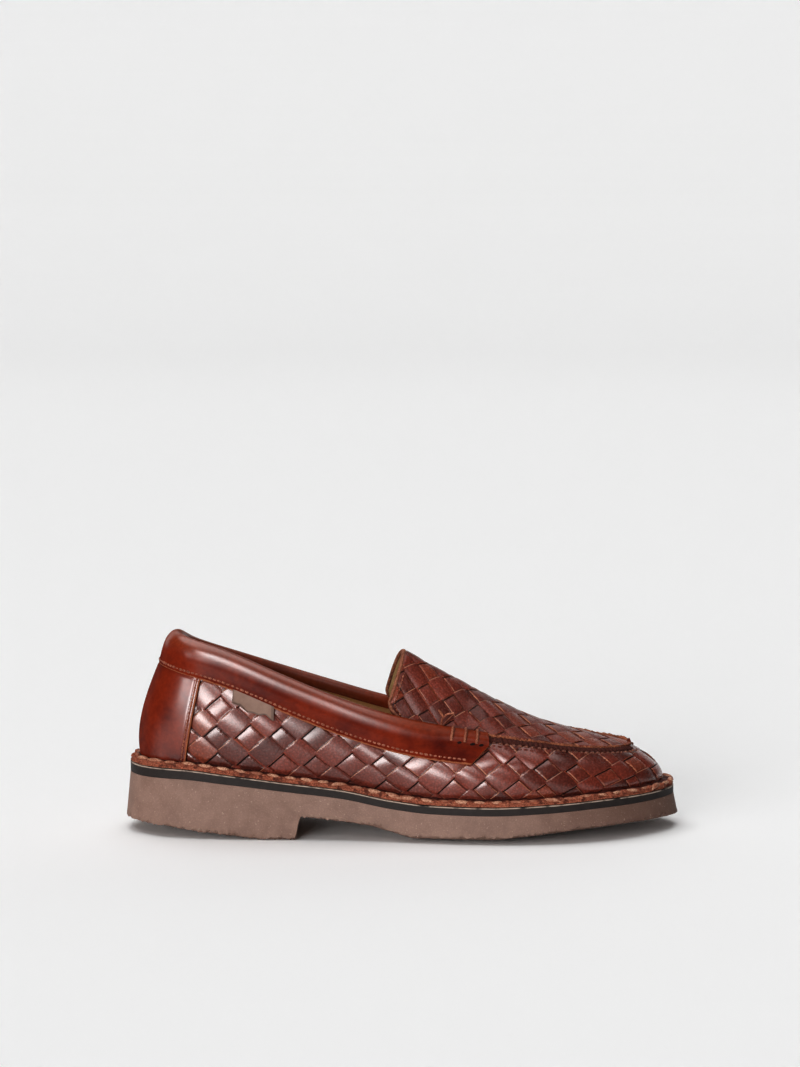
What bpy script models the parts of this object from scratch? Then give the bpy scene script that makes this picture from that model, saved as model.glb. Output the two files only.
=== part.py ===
"""Woven leather moccasin for the right foot, standing on its sole.

+X points to the toe, +Y to the inner side of the foot and +Z up. The origin lies on the floor,
under the middle of the shoe. Each leather piece is drafted flat, as a shoemaker cuts it, and is then
carried on to the last by functions that read one table of last sections. Tables and sizes are in
millimetres, heights are above the floor, and x is measured from the back of the heel seat.
"""

import math
from collections import namedtuple

import bmesh
import bpy
import numpy as np
from mathutils import Vector

MM = 0.001
GAP = 0.3

# Driving sizes of the sole
SOLE_FLARE = 2.2
HEEL_FLAT_X = 72.0
BREAST_BOTTOM_X = 88.3
BREAST_TOP_X = 90.6
FORE_FLAT_X = 150.0
SPRING_X = 188.0
EDGE_LIFT = 2.8
EDGE_LIFT_FROM = 0.45
BALL_HALF_WIDTH = 48.0
INSOLE_INSET = 3.3
INSOLE_THICKNESS = 2.6

# Driving sizes of the upper
FLANGE = 3.4
WALL = 2.4
STRIP_PITCH = 16.0
STRIP_SLOPE = math.tan(math.radians(45.0))
STRIP_RELIEF = 0.6
STRIP_GROOVE = 0.9
CUT_SNAP = 0.06
WEAVE_FOOT = 1.5
ROUND_HEEL_X = 45.0
ROUND_TOE_X = 225.0
PATTERN_LEVEL = 0.35

# Driving sizes of the overlays
OVERLAY_CLEAR = STRIP_RELIEF + 2 * GAP
LINING_CLEAR = 1.2
COLLAR_DEPTH = 16.5
COLLAR_INSIDE = 10.0
COLLAR_END_X = 186.5
COLLAR_END_CUT = 10.5
COLLAR_END_CUT_FROM = 6.0
COUNTER_THICKNESS = 1.3
COUNTER_FOOT_X = 31.0
COUNTER_TOP_X = 37.5
TAG_FROM_X = 56.0
TAG_TO_X = 77.0
TAG_DROP = 8.5
TAG_THICKNESS = 1.0

# Driving sizes of the apron and its tongue
APRON = 2.4
RIDGE_LIP = 1.6
RIDGE_RISE = 0.8
RIDGE_FROM_X = 194.0
THROAT_X = 188.0
TONGUE_BACK_X = 144.5
TONGUE_CORNER_BACK = 7.5
TONGUE_INNER_BACK = 11.0
TONGUE_CORNER = 0.84
TONGUE_CORNER_X = 147.0
TONGUE_INSET = 5.8
APRON_ROUND = 1.3

LastRow = namedtuple(
    "LastRow",
    "x lateral medial welt x_top top_lateral top_medial z_top medial_drop low_bulge high_bulge",
)
LAST = [
    LastRow(9.0, 0.0, 0.0, 7.6, 24.5, 0.0, 0.0, 101.4, 0.0, 9.2, 1.6),
    LastRow(14.2, 14.6, 14.6, 7.4, 26.5, 9.5, 9.5, 101.2, 1.2, 8.8, 2.0),
    LastRow(27.0, 23.2, 23.0, 6.8, 33.0, 17.4, 17.2, 99.4, 3.8, 7.5, 3.0),
    LastRow(49.5, 28.9, 28.3, 6.0, 51.0, 22.4, 22.2, 94.2, 5.4, 6.2, 4.0),
    LastRow(78.0, 31.2, 29.4, 5.5, 79.0, 26.6, 26.4, 82.9, 3.4, 5.6, 4.2),
    LastRow(108.0, 32.8, 27.8, 5.5, 109.0, 29.2, 28.6, 71.0, 1.0, 5.2, 4.4),
    LastRow(140.0, 37.2, 30.0, 5.5, 140.0, 31.6, 30.6, 61.4, 0.3, 5.2, 5.4),
    LastRow(170.0, 42.8, 37.4, 5.5, 168.0, 33.0, 32.0, 56.0, 0.0, 6.0, 6.8),
    LastRow(195.0, 44.8, 42.2, 5.5, 190.0, 32.2, 31.6, 52.6, 0.0, 6.8, 8.0),
    LastRow(220.0, 42.4, 42.8, 5.5, 212.0, 28.8, 29.0, 49.0, 0.0, 7.0, 8.4),
    LastRow(243.0, 34.8, 38.8, 5.5, 231.5, 22.4, 24.2, 45.4, 0.0, 6.6, 8.2),
    LastRow(262.0, 22.4, 29.4, 5.5, 247.5, 13.8, 17.6, 43.4, 0.0, 6.0, 7.6),
    LastRow(274.5, 8.4, 17.6, 5.5, 257.5, 4.8, 10.4, 42.7, 0.0, 5.5, 7.2),
    LastRow(279.5, -4.0, 4.0, 5.5, 261.0, -3.2, 3.2, 42.6, 0.0, 5.3, 7.1),
]

Level = namedtuple("Level", "x z")
SOLE_TOP = [
    Level(0.0, 35.2), Level(28.0, 35.0), Level(55.0, 32.4), Level(86.0, 28.6), Level(112.0, 25.6),
    Level(138.0, 20.9), Level(158.0, 19.0), Level(187.0, 18.6), Level(217.0, 19.6),
    Level(249.0, 21.0), Level(286.0, 21.4),
]
MIDSOLE_THICKNESS = [Level(0.0, 5.0), Level(90.0, 4.1), Level(286.0, 3.7)]
HEEL_BOTTOM = [
    Level(0.0, 6.6), Level(20.0, 5.4), Level(40.0, 3.1), Level(56.0, 1.6), Level(HEEL_FLAT_X, 0.0),
    Level(BREAST_BOTTOM_X, 0.0),
]
FORE_BOTTOM = [
    Level(BREAST_TOP_X, 11.8), Level(103.0, 10.7), Level(125.0, 7.0), Level(138.0, 3.2),
    Level(FORE_FLAT_X, 0.0), Level(SPRING_X, 0.0), Level(205.0, 1.4), Level(224.0, 3.4), Level(245.0, 5.1),
    Level(265.0, 6.1), Level(286.0, 6.6),
]
EDGE_LIFT_RAMP = [Level(100.0, 0.0), Level(150.0, 1.0), Level(286.0, 1.0)]
APRON_CROWN = [
    Level(136.0, 97.0), Level(144.7, 92.4), Level(158.2, 84.5), Level(173.0, 76.6), Level(186.0, 69.2),
    Level(198.6, 62.9), Level(209.3, 57.8), Level(222.0, 53.4), Level(235.0, 49.9),
    Level(248.0, 46.6), Level(262.0, 43.6),
]

# Colours: base colour, roughness
LEATHER_WOVEN = ((0.115, 0.024, 0.014), 0.38)
LEATHER_SMOOTH = ((0.150, 0.028, 0.010), 0.30)
LEATHER_TAG = ((0.36, 0.24, 0.17), 0.60)
LEATHER_INSOLE = ((0.26, 0.15, 0.07), 0.65)
RUBBER_DARK = ((0.035, 0.027, 0.024), 0.60)
RUBBER_CREPE = ((0.235, 0.155, 0.115), 0.70)


def level_function(levels):
    """A smooth curve through the levels that never overshoots between two of them."""
    x = np.array([level.x for level in levels])
    z = np.array([level.z for level in levels])
    step = np.diff(z) / np.diff(x)
    slope = np.zeros(len(x))
    slope[0], slope[-1] = step[0], step[-1]
    same = step[:-1] * step[1:] > 0
    slope[1:-1][same] = 2 * step[:-1][same] * step[1:][same] / (step[:-1] + step[1:])[same]

    def value(at):
        at = np.clip(at, x[0], x[-1])
        i = np.clip(np.searchsorted(x, at) - 1, 0, len(x) - 2)
        width = x[i + 1] - x[i]
        t = (at - x[i]) / width
        return (
            z[i] * (1 + 2 * t) * (1 - t) ** 2
            + slope[i] * width * t * (1 - t) ** 2
            + z[i + 1] * t * t * (3 - 2 * t)
            + slope[i + 1] * width * t * t * (t - 1)
        )

    return value


sole_top = level_function(SOLE_TOP)
midsole_thickness = level_function(MIDSOLE_THICKNESS)
heel_bottom = level_function(HEEL_BOTTOM)
fore_bottom = level_function(FORE_BOTTOM)
edge_lift_ramp = level_function(EDGE_LIFT_RAMP)
apron_crown = level_function(APRON_CROWN)


def closed_spline(knots, values, at):
    """Values along a smooth closed curve through the knots, the last of which is the first again."""
    count = len(values)
    width = np.diff(knots)
    system = np.zeros((count, count))
    right = np.zeros((count, values.shape[1]))
    for i in range(count):
        before, after = width[i - 1], width[i]
        system[i, i - 1] += before
        system[i, i] += 2 * (before + after)
        system[i, (i + 1) % count] += after
        right[i] = 6 * (
            (values[(i + 1) % count] - values[i]) / after - (values[i] - values[i - 1]) / before
        )
    bend = np.linalg.solve(system, right)
    i = np.clip(np.searchsorted(knots, at, side="right") - 1, 0, count - 1)
    j = (i + 1) % count
    h = width[i][:, None]
    a = (knots[i + 1] - at)[:, None] / h
    b = 1 - a
    return a * values[i] + b * values[j] + ((a**3 - a) * bend[i] + (b**3 - b) * bend[j]) * h * h / 6


class Last:
    """The outer surface of the upper, sampled round the shoe from the heel by the outer side and the toe."""

    SAMPLES = 1440

    def __init__(self, rows):
        ring = [(row, -row.lateral, -row.top_lateral, 0.0) for row in rows[:-1]]
        ring += [(row, row.medial, row.top_medial, row.medial_drop) for row in rows[:0:-1]]
        values = np.array(
            [
                (row.x, y, row.x_top, y_top, row.z_top - drop, row.low_bulge, row.high_bulge, row.welt)
                for row, y, y_top, drop in ring
            ]
        )
        around = np.vstack([values, values[:1]])
        knots = np.concatenate([[0], np.cumsum(np.hypot(*np.diff(around[:, :2], axis=0).T))])
        at = np.linspace(0, knots[-1], self.SAMPLES + 1)[:-1]
        dense = closed_spline(knots, values, at)
        self.foot = np.column_stack([dense[:, :2], sole_top(dense[:, 0]) + FLANGE])
        self.top = dense[:, 2:5]
        self.low_bulge = dense[:, 5:6]
        self.high_bulge = dense[:, 6:7]
        self.welt = dense[:, 7:8]
        self.out = outward(self.foot)
        level = self.at_level(PATTERN_LEVEL)
        loop = np.vstack([level, level[:1]])
        self.station = np.concatenate([[0], np.cumsum(np.linalg.norm(np.diff(loop, axis=0), axis=1))])
        self.round = self.station[-1]
        generator = np.array([self.at_level(t) for t in np.linspace(0, 1, 25)])
        self.height = np.linalg.norm(np.diff(generator, axis=0), axis=2).sum(axis=0)

    def at_level(self, t):
        bulge = 3 * t * (1 - t) ** 2 * self.low_bulge + 3 * t * t * (1 - t) * self.high_bulge
        return self.foot + (self.top - self.foot) * t + self.out * bulge

    def pick(self, column, station):
        """A sampled column, read at a station round the shoe."""
        loop = np.concatenate([column, column[:1]])
        where = station % self.round
        if loop.ndim == 1:
            return np.interp(where, self.station, loop)
        return np.array([np.interp(where, self.station, loop[:, k]) for k in range(loop.shape[1])])

    def wall_height(self, station):
        return float(self.pick(self.height, station))

    def skin(self, station, rise):
        """A point of the outer surface: rise goes up the wall, and from 0 to -1 out along the flange."""
        foot, out = self.pick(self.foot, station), self.pick(self.out, station)
        if rise < 0:
            point = foot - out * self.pick(self.welt, station) * rise
            point[2] = sole_top(point[0]) + FLANGE
            return point
        top = self.pick(self.top, station)
        low, high = self.pick(self.low_bulge, station)[0], self.pick(self.high_bulge, station)[0]
        height = self.wall_height(station)

        def curve(t):
            bulge = 3 * t * (1 - t) ** 2 * low + 3 * t * t * (1 - t) * high
            return foot + (top - foot) * t + out * bulge

        t = rise / height
        if t <= 1:
            return curve(t)
        end = curve(1.0)
        tangent = end - curve(0.98)
        return end + tangent / np.linalg.norm(tangent) * (rise - height)

    def normal(self, station, rise):
        step = 0.5
        rise = max(rise, step)
        along = self.skin(station + step, rise) - self.skin(station - step, rise)
        upward = self.skin(station, rise + step) - self.skin(station, rise - step)
        facing = np.cross(along, upward)
        return facing / np.linalg.norm(facing)

    def offset(self, station, rise, out):
        return self.skin(station, rise) + self.normal(station, rise) * out

    def station_at(self, column, x, inner):
        """The station on the outer or the inner side where a sampled column reaches x."""
        toe = int(np.argmax(column[:, 0]))
        side = slice(toe, None) if inner else slice(0, toe + 1)
        order = np.argsort(column[side, 0])
        return float(np.interp(x, column[side, 0][order], self.station[:-1][side][order]))


def outward(loop):
    """Level unit vectors that point out of a closed loop of points run through clockwise from above."""
    along = np.roll(loop, -1, axis=0) - np.roll(loop, 1, axis=0)
    out = np.column_stack([along[:, 1], -along[:, 0], np.zeros(len(loop))])
    turned = np.sign(np.cross(loop[:, :2] - loop[:, :2].mean(axis=0), along[:, :2]).mean())
    return out * turned / np.linalg.norm(out, axis=1)[:, None]


class Outline:
    """A closed plan outline, read as an outer and an inner half-width at each x."""

    def __init__(self, loop):
        heel, toe = int(np.argmin(loop[:, 0])), int(np.argmax(loop[:, 0]))
        loop = np.roll(loop, -heel, axis=0)
        toe = (toe - heel) % len(loop)
        self.outer = loop[: toe + 1]
        self.inner = np.vstack([loop[toe:], loop[:1]])[::-1]
        self.start, self.end = self.outer[0, 0], self.outer[-1, 0]

    def sides(self, x):
        return (
            np.interp(x, self.outer[:, 0], self.outer[:, 1]),
            np.interp(x, self.inner[:, 0], self.inner[:, 1]),
        )

    def point(self, share, across):
        """share runs from the heel (0) to the toe (1), across from the outer (0) to the inner side (1)."""
        x = self.start + (self.end - self.start) * share
        outer, inner = self.sides(x)
        return x, outer + (inner - outer) * across


last = Last(LAST)
welt_outline = Outline(last.foot + last.out * last.welt)
tread_outline = Outline(last.foot + last.out * (last.welt + SOLE_FLARE))
insole_outline = Outline(last.foot - last.out * INSOLE_INSET)
tread_y = np.concatenate([tread_outline.outer[:, 1], tread_outline.inner[:, 1]])
X_MIDDLE = (tread_outline.start + tread_outline.end) / 2
Y_MIDDLE = (tread_y.min() + tread_y.max()) / 2


def placed(point):
    """A point of the last, in metres from the origin of the shoe."""
    return Vector(((point[0] - X_MIDDLE) * MM, (point[1] - Y_MIDDLE) * MM, point[2] * MM))


def material_of(name, finish):
    material = bpy.data.materials.new(name)
    material.use_nodes = True
    shader = material.node_tree.nodes["Principled BSDF"]
    shader.inputs["Base Color"].default_value = (*finish[0], 1.0)
    shader.inputs["Roughness"].default_value = finish[1]
    shader.inputs["Metallic"].default_value = 0.0
    return material


def finished(name, bm, finish, collection):
    """Turns a bmesh into a named object of one material, with its faces pointing out."""
    bmesh.ops.recalc_face_normals(bm, faces=bm.faces[:])
    if bm.calc_volume(signed=True) < 0:
        bmesh.ops.reverse_faces(bm, faces=bm.faces[:])
    mesh = bpy.data.meshes.new(name)
    bm.to_mesh(mesh)
    bm.free()
    mesh.shade_smooth()
    mesh.set_sharp_from_angle(angle=math.radians(35))
    mesh.materials.append(material_of(name, finish))
    piece = bpy.data.objects.new(name, mesh)
    collection.objects.link(piece)
    return piece


def thickened_grid(columns, rows):
    """A flat slab over the unit square, one unit thick, cut into columns and rows."""
    bm = bmesh.new()
    bmesh.ops.create_grid(bm, x_segments=columns, y_segments=rows, size=0.5)
    bmesh.ops.translate(bm, verts=bm.verts[:], vec=(0.5, 0.5, 0))
    raised_copy(bm, 1.0)
    return bm


def raised_copy(bm, height):
    """Closes a flat sheet into a slab: a copy of it at this height, and walls along its edges."""
    sheet = bm.faces[:]
    made = bmesh.ops.extrude_face_region(bm, geom=sheet, use_keep_orig=True)["geom"]
    risen = [part for part in made if isinstance(part, bmesh.types.BMVert)]
    bmesh.ops.translate(bm, verts=risen, vec=(0, 0, height))
    bmesh.ops.reverse_faces(bm, faces=sheet)


# The sole: three layers that share one outline

END_CROWDING = 34


def sole_shares():
    """Places along the sole, close together at its round ends, with the ends of its flat spots."""
    shares = [(1 - math.cos(math.pi * i / END_CROWDING)) / 2 for i in range(END_CROWDING + 1)]
    length = tread_outline.end - tread_outline.start
    stops = (HEEL_FLAT_X, BREAST_BOTTOM_X, BREAST_TOP_X, FORE_FLAT_X, SPRING_X)
    kept = [(x - tread_outline.start) / length for x in stops]
    clear = [share for share in shares if min(abs(share - stop) for stop in kept) > 0.012]
    return sorted(clear + kept)


def tread_height(x, across, half_width):
    """Underside of the sole: rocker heel, heel breast, arch, flat forefoot and toe spring."""
    if x <= (BREAST_BOTTOM_X + BREAST_TOP_X) / 2:
        return float(heel_bottom(x))
    from_edge = max(0.0, (abs(2 * across - 1) - EDGE_LIFT_FROM) / (1 - EDGE_LIFT_FROM))
    lift = EDGE_LIFT * float(edge_lift_ramp(x)) * min(1.0, half_width / BALL_HALF_WIDTH)
    return float(fore_bottom(x)) + lift * from_edge**2


def sole_layer(name, shares, across_cuts, finish, collection, low, high):
    """One layer of the sole. low and high give a point of its underside and of its top."""
    bm = thickened_grid(len(shares) - 1, across_cuts)
    for vertex in bm.verts:
        share = shares[round(vertex.co.x * (len(shares) - 1))]
        across, top = vertex.co.y, vertex.co.z > 0.5
        vertex.co = placed((high if top else low)(share, across))
    return finished(name, bm, finish, collection)


def make_outsole(collection):
    def low(share, across):
        x, y = tread_outline.point(share, across)
        outer, inner = tread_outline.sides(x)
        return x, y, tread_height(x, across, (inner - outer) / 2)

    def high(share, across):
        x, y = welt_outline.point(share, across)
        return x, y, sole_top(x) - midsole_thickness(x) - GAP

    return sole_layer("outsole", sole_shares(), 6, RUBBER_CREPE, collection, low, high)


def make_midsole(collection):
    def low(share, across):
        x, y = welt_outline.point(share, across)
        return x, y, sole_top(x) - midsole_thickness(x)

    def high(share, across):
        x, y = welt_outline.point(share, across)
        return x, y, sole_top(x)

    return sole_layer("midsole", sole_shares(), 2, RUBBER_DARK, collection, low, high)


def make_insole(collection):
    def surface(rise):
        def point(share, across):
            x, y = insole_outline.point(share, across)
            return x, y, sole_top(x) + rise

        return point

    low, high = surface(GAP), surface(GAP + INSOLE_THICKNESS)
    return sole_layer("insole", sole_shares()[1:-1], 2, LEATHER_INSOLE, collection, low, high)


# The woven wall of the upper


def cut_lattice(bm, pitch, low, high, shift, wanted):
    """Cuts the wanted faces of a flat sheet along both families of strips, shifted by a share of a strip."""
    for slope in (STRIP_SLOPE, -STRIP_SLOPE):
        facing = Vector((slope, -1, 0)).normalized()
        for k in range(math.floor(low / pitch), math.ceil(high / pitch) + 1):
            faces = [face for face in bm.faces if wanted(face)]
            edges = list(dict.fromkeys(edge for face in faces for edge in face.edges))
            corners = list(dict.fromkeys(vertex for face in faces for vertex in face.verts))
            bmesh.ops.bisect_plane(
                bm, geom=corners + edges + faces, dist=CUT_SNAP,
                plane_co=((k + shift) * pitch, 0, 0), plane_no=facing,
            )


def faces_up(face, level):
    return all(abs(vertex.co.z - level) < 1e-6 for vertex in face.verts)


def cell_of(x, y, pitch):
    """The lattice cell that holds a point of the flat sheet."""
    return math.floor((x - y / STRIP_SLOPE) / pitch), math.floor((x + y / STRIP_SLOPE) / pitch)


def raise_strips(bm, pitch, level, shows):
    """Raises each visible crossing of two strips that is clear of the sheet's edge, as a plateau."""
    cells = {}
    for face in bm.faces:
        centre = face.calc_center_median()
        if faces_up(face, level) and shows(centre.x, centre.y):
            cells.setdefault(cell_of(centre.x, centre.y, pitch), []).append(face)
    whole = []
    for key in sorted(cells):
        around = {other for face in cells[key] for corner in face.verts for other in corner.link_faces}
        if all(faces_up(face, level) for face in around):
            whole.append(cells[key])
    for cell in whole:
        bmesh.ops.inset_region(
            bm, faces=cell, thickness=STRIP_GROOVE, depth=STRIP_RELIEF,
            use_boundary=True, use_even_offset=True,
        )


def collar_ends():
    return (
        last.station_at(last.top, COLLAR_END_X, inner=False),
        last.station_at(last.top, COLLAR_END_X, inner=True),
    )


def in_collar(station):
    outer_end, inner_end = collar_ends()
    return station <= outer_end or station >= inner_end


def counter_front(share):
    """Stations of the heel counter's two front edges, at a share of its height."""
    x = COUNTER_FOOT_X + (COUNTER_TOP_X - COUNTER_FOOT_X) * share
    return last.station_at(last.foot, x, False), last.station_at(last.foot, x, True)


def below_collar(station, rise):
    return rise < last.wall_height(station) - (COLLAR_DEPTH if in_collar(station) else 0.0)


def wall_is_finer(face):
    """The open outside of the wall is cut finer, and the inside where it bends round heel and toe."""
    station, rise, _ = face.calc_center_median()
    round_end = not ROUND_HEEL_X < last.pick(last.foot, station)[0] < ROUND_TOE_X
    outside = faces_up(face, WALL)
    return (outside and below_collar(station, rise)) or (round_end and (outside or faces_up(face, 0.0)))


def weave_shows(station, rise):
    """Where the woven strips are in the open: clear of counter, collar and flange."""
    outer, inner = counter_front(1.0)
    return outer < station < inner and rise > WEAVE_FOOT and below_collar(station, rise)


def wall_point(station, rise, level):
    """Carries a point of the flat wall slab on to the last. level is 0 inside and WALL outside."""
    if level >= WALL - 1e-6:
        return last.offset(station, rise, level - WALL) if rise > 0 else last.skin(station, rise)
    if rise > 1e-4:
        return last.offset(station, rise, -WALL)
    foot, out = last.pick(last.foot, station), last.pick(last.out, station)
    point = foot - out * (WALL + (last.pick(last.welt, station) + WALL) * rise)
    point[2] = sole_top(point[0]) + GAP
    return point


def make_wall(collection):
    """Side wall of the upper with its stitched-down flange, run once round the shoe."""
    edge_points = 110
    pitch = last.round / round(last.round / STRIP_PITCH)
    bm = bmesh.new()
    rims = [last.round * i / edge_points for i in range(edge_points + 1)]
    outline = [bm.verts.new((0, -1, 0)), bm.verts.new((last.round, -1, 0))]
    outline += [bm.verts.new((s, last.wall_height(s), 0)) for s in reversed(rims)]
    bm.faces.new(outline)
    everything = bm.verts[:] + bm.edges[:] + bm.faces[:]
    bmesh.ops.bisect_plane(bm, geom=everything, dist=1e-4, plane_co=(0, 0, 0), plane_no=(0, 1, 0))
    tallest = last.height.max() / STRIP_SLOPE
    low, high = -tallest - pitch, last.round + tallest + pitch
    cut_lattice(bm, pitch, low, high, 0.0, lambda face: True)
    raised_copy(bm, WALL)
    cut_lattice(bm, pitch, low, high, 0.5, wall_is_finer)
    seam = [
        face
        for face in bm.faces
        if all(v.co.x < 1e-3 for v in face.verts) or all(v.co.x > last.round - 1e-3 for v in face.verts)
    ]
    bmesh.ops.delete(bm, geom=seam, context="FACES")
    bm.normal_update()
    raise_strips(bm, pitch, WALL, weave_shows)
    for vertex in bm.verts:
        vertex.co = placed(wall_point(*vertex.co))
    bmesh.ops.remove_doubles(bm, verts=bm.verts[:], dist=0.02 * MM)
    return finished("upper", bm, LEATHER_WOVEN, collection)


# The apron, whose back end stands up as the tongue


def eased(share):
    share = min(1.0, max(0.0, share))
    return share * share * (3 - 2 * share)


class Apron:
    """Top of the shoe, from the raised seam at the toe to the free end of the tongue."""

    STEPS = 24

    def __init__(self):
        self.ridge = Outline(last.top + outward(last.top) * RIDGE_LIP)
        self.throat = Outline(last.top - outward(last.top) * TONGUE_INSET)
        toe = int(np.argmax(last.top[:, 0]))
        self.top_x, self.top_z = last.top[: toe + 1, 0], last.top[: toe + 1, 2]
        self.end = self.ridge.end - 0.02

    def sides(self, x):
        """The two edges and their height, which leave the collar's inside to lie on the wall's rim."""
        share = eased((x - THROAT_X) / (RIDGE_FROM_X - THROAT_X))
        wide, narrow = self.ridge.sides(x), self.throat.sides(min(x, RIDGE_FROM_X))
        outer, inner = (n + (w - n) * share for w, n in zip(wide, narrow))
        return outer, inner, float(np.interp(x, self.top_x, self.top_z)) + RIDGE_RISE * share

    def surface(self, x, across):
        """across runs from -1 on the outer edge to 1 on the inner edge."""
        outer, inner, edge = self.sides(x)
        rise = max(0.0, float(apron_crown(x)) - edge) * max(0.0, 1 - across * across) ** APRON_ROUND
        return np.array([x, (outer + inner) / 2 + across * (inner - outer) / 2, edge + rise])

    def half_width(self, x):
        """Width of the flat piece from its middle line to its edge, measured along the surface."""
        line = np.array([self.surface(x, i / self.STEPS) for i in range(self.STEPS + 1)])
        return float(np.linalg.norm(np.diff(line, axis=0), axis=1).sum())

    def across_at(self, x, flat):
        """Where a flat distance from the middle line comes to lie across the surface."""
        side = math.copysign(1.0, flat)
        line = np.array([self.surface(x, side * i / self.STEPS) for i in range(self.STEPS + 1)])
        run = np.concatenate([[0], np.cumsum(np.linalg.norm(np.diff(line, axis=0), axis=1))])
        share = min(1.0, abs(flat) / max(self.half_width(x), 1e-6))
        return side * float(np.interp(share * run[-1], run, np.linspace(0, 1, self.STEPS + 1)))

    def back(self, across):
        """x of the tongue's free edge: a hollow cut with rounded corners, the inner one further back."""
        share = abs(across)
        sweep, bend = (TONGUE_INNER_BACK, 1.3) if across > 0 else (TONGUE_CORNER_BACK, 2.0)
        if share <= TONGUE_CORNER:
            return TONGUE_BACK_X - sweep * (share / TONGUE_CORNER) ** bend
        turn = (share - TONGUE_CORNER) / (1 - TONGUE_CORNER)
        corner = TONGUE_BACK_X - sweep
        return corner + (TONGUE_CORNER_X - corner) * (1 - math.sqrt(max(0.0, 1 - turn * turn)))

    def normal(self, x, across):
        step, turn = 0.4, 0.02
        x = min(max(x, TONGUE_BACK_X - TONGUE_INNER_BACK), self.end - 2 * step)
        across = min(max(across, turn - 1), 1 - turn)
        along = self.surface(x + step, across) - self.surface(x - step, across)
        over = self.surface(x, across + turn) - self.surface(x, across - turn)
        facing = np.cross(along, over)
        return facing / np.linalg.norm(facing)


def make_apron(collection):
    apron = Apron()
    side_steps, back_steps = 28, 20
    shares = [math.sin(math.pi / 2 * i / side_steps) for i in range(side_steps + 1)]
    places = [TONGUE_CORNER_X + (apron.end - TONGUE_CORNER_X) * share for share in shares]
    flat = [(x, -apron.half_width(x)) for x in places]
    flat += [(x, apron.half_width(x)) for x in reversed(places[:-1])]
    for i in range(1, back_steps):
        across = 1 - 2 * i / back_steps
        x = apron.back(across)
        flat.append((x, across * apron.half_width(x)))
    bm = bmesh.new()
    bm.faces.new([bm.verts.new((x, y, 0)) for x, y in flat])
    cut_lattice(bm, STRIP_PITCH, 40.0, 360.0, 0.0, lambda face: True)
    raised_copy(bm, APRON)
    cut_lattice(bm, STRIP_PITCH, 40.0, 360.0, 0.5, lambda face: faces_up(face, APRON))
    bm.normal_update()
    raise_strips(bm, STRIP_PITCH, APRON, lambda x, y: x < apron.end - RIDGE_LIP)
    for vertex in bm.verts:
        x, flat_y, level = vertex.co
        across = apron.across_at(x, flat_y)
        point = apron.surface(x, across) + apron.normal(x, across) * (level - APRON)
        vertex.co = placed(point)
    return finished("apron_and_tongue", bm, LEATHER_WOVEN, collection)


def join_upper(wall, apron):
    """Sews the apron to the wall: one solid that stays open at the collar and underneath."""
    union = wall.modifiers.new("sewn seam", "BOOLEAN")
    union.operation = "UNION"
    union.solver = "MANIFOLD"
    union.object = apron
    bpy.context.view_layer.update()
    graph = bpy.context.evaluated_depsgraph_get()
    joined = bpy.data.meshes.new_from_object(wall.evaluated_get(graph))
    wall.modifiers.clear()
    wall.data = joined
    bpy.data.objects.remove(apron)


# Overlays that lie on the wall


FoldRow = namedtuple("FoldRow", "under_out under_rise skin_out skin_rise")


def collar_fold():
    """Section of the collar band from its lower edge over the rim to its inner edge: underside and skin."""
    outside, inside = OVERLAY_CLEAR, -WALL - LINING_CLEAR
    return [
        FoldRow(outside, -COLLAR_DEPTH, outside + 1.3, -COLLAR_DEPTH),
        FoldRow(outside, -11.0, outside + 1.6, -10.5),
        FoldRow(outside, -5.5, outside + 1.9, -5.0),
        FoldRow(outside, -1.5, outside + 1.7, -0.8),
        FoldRow(outside, GAP, outside + 0.5, 1.5),
        FoldRow(-WALL / 2, GAP, -WALL / 2, 2.6),
        FoldRow(inside, GAP, inside - 0.2, 1.8),
        FoldRow(inside, -2.0, inside - 1.0, -0.4),
        FoldRow(inside, -5.0, inside - 1.1, -5.0),
        FoldRow(inside, -COLLAR_INSIDE, inside - 1.0, -COLLAR_INSIDE),
    ]


def make_collar_band(collection):
    """Padded band folded over the rim, with its two front ends cut back at a slant below the roll."""
    stations = 42
    outer_end, inner_end = collar_ends()
    start, end = inner_end - last.round, outer_end
    fold = collar_fold()
    bm = thickened_grid(stations, len(fold) - 1)
    for vertex in bm.verts:
        row = fold[round(vertex.co.y * (len(fold) - 1))]
        skin = vertex.co.z > 0.5
        out, rise = (row.skin_out, row.skin_rise) if skin else (row.under_out, row.under_rise)
        below = max(0.0, -rise - COLLAR_END_CUT_FROM) if out > 0 else 0.0
        cut = COLLAR_END_CUT * below / (COLLAR_DEPTH - COLLAR_END_CUT_FROM)
        station = start + cut + (end - start - 2 * cut) * vertex.co.x
        vertex.co = placed(last.offset(station, last.wall_height(station) + rise, out))
    return finished("collar_band", bm, LEATHER_SMOOTH, collection)


def wall_patch(name, columns, rows, thickness, finish, collection, place):
    """A leather overlay on the wall. place turns shares along and up into a station and a rise."""
    bm = thickened_grid(columns, rows)
    for vertex in bm.verts:
        station, rise = place(vertex.co.x, vertex.co.y)
        level = OVERLAY_CLEAR + thickness * vertex.co.z
        vertex.co = placed(last.offset(station, rise, level))
    return finished(name, bm, finish, collection)


def make_heel_counter(collection):
    """Smooth panel that wraps the heel, from the flange up to the collar band."""
    foot_rise = 1.4

    def place(along, up):
        outer, inner = counter_front(up)
        start = inner - last.round
        station = start + (outer - start) * along
        top = last.wall_height(station) - COLLAR_DEPTH - GAP
        return station, foot_rise + (top - foot_rise) * up

    return wall_patch("heel_counter", 26, 6, COUNTER_THICKNESS, LEATHER_SMOOTH, collection, place)


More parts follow.
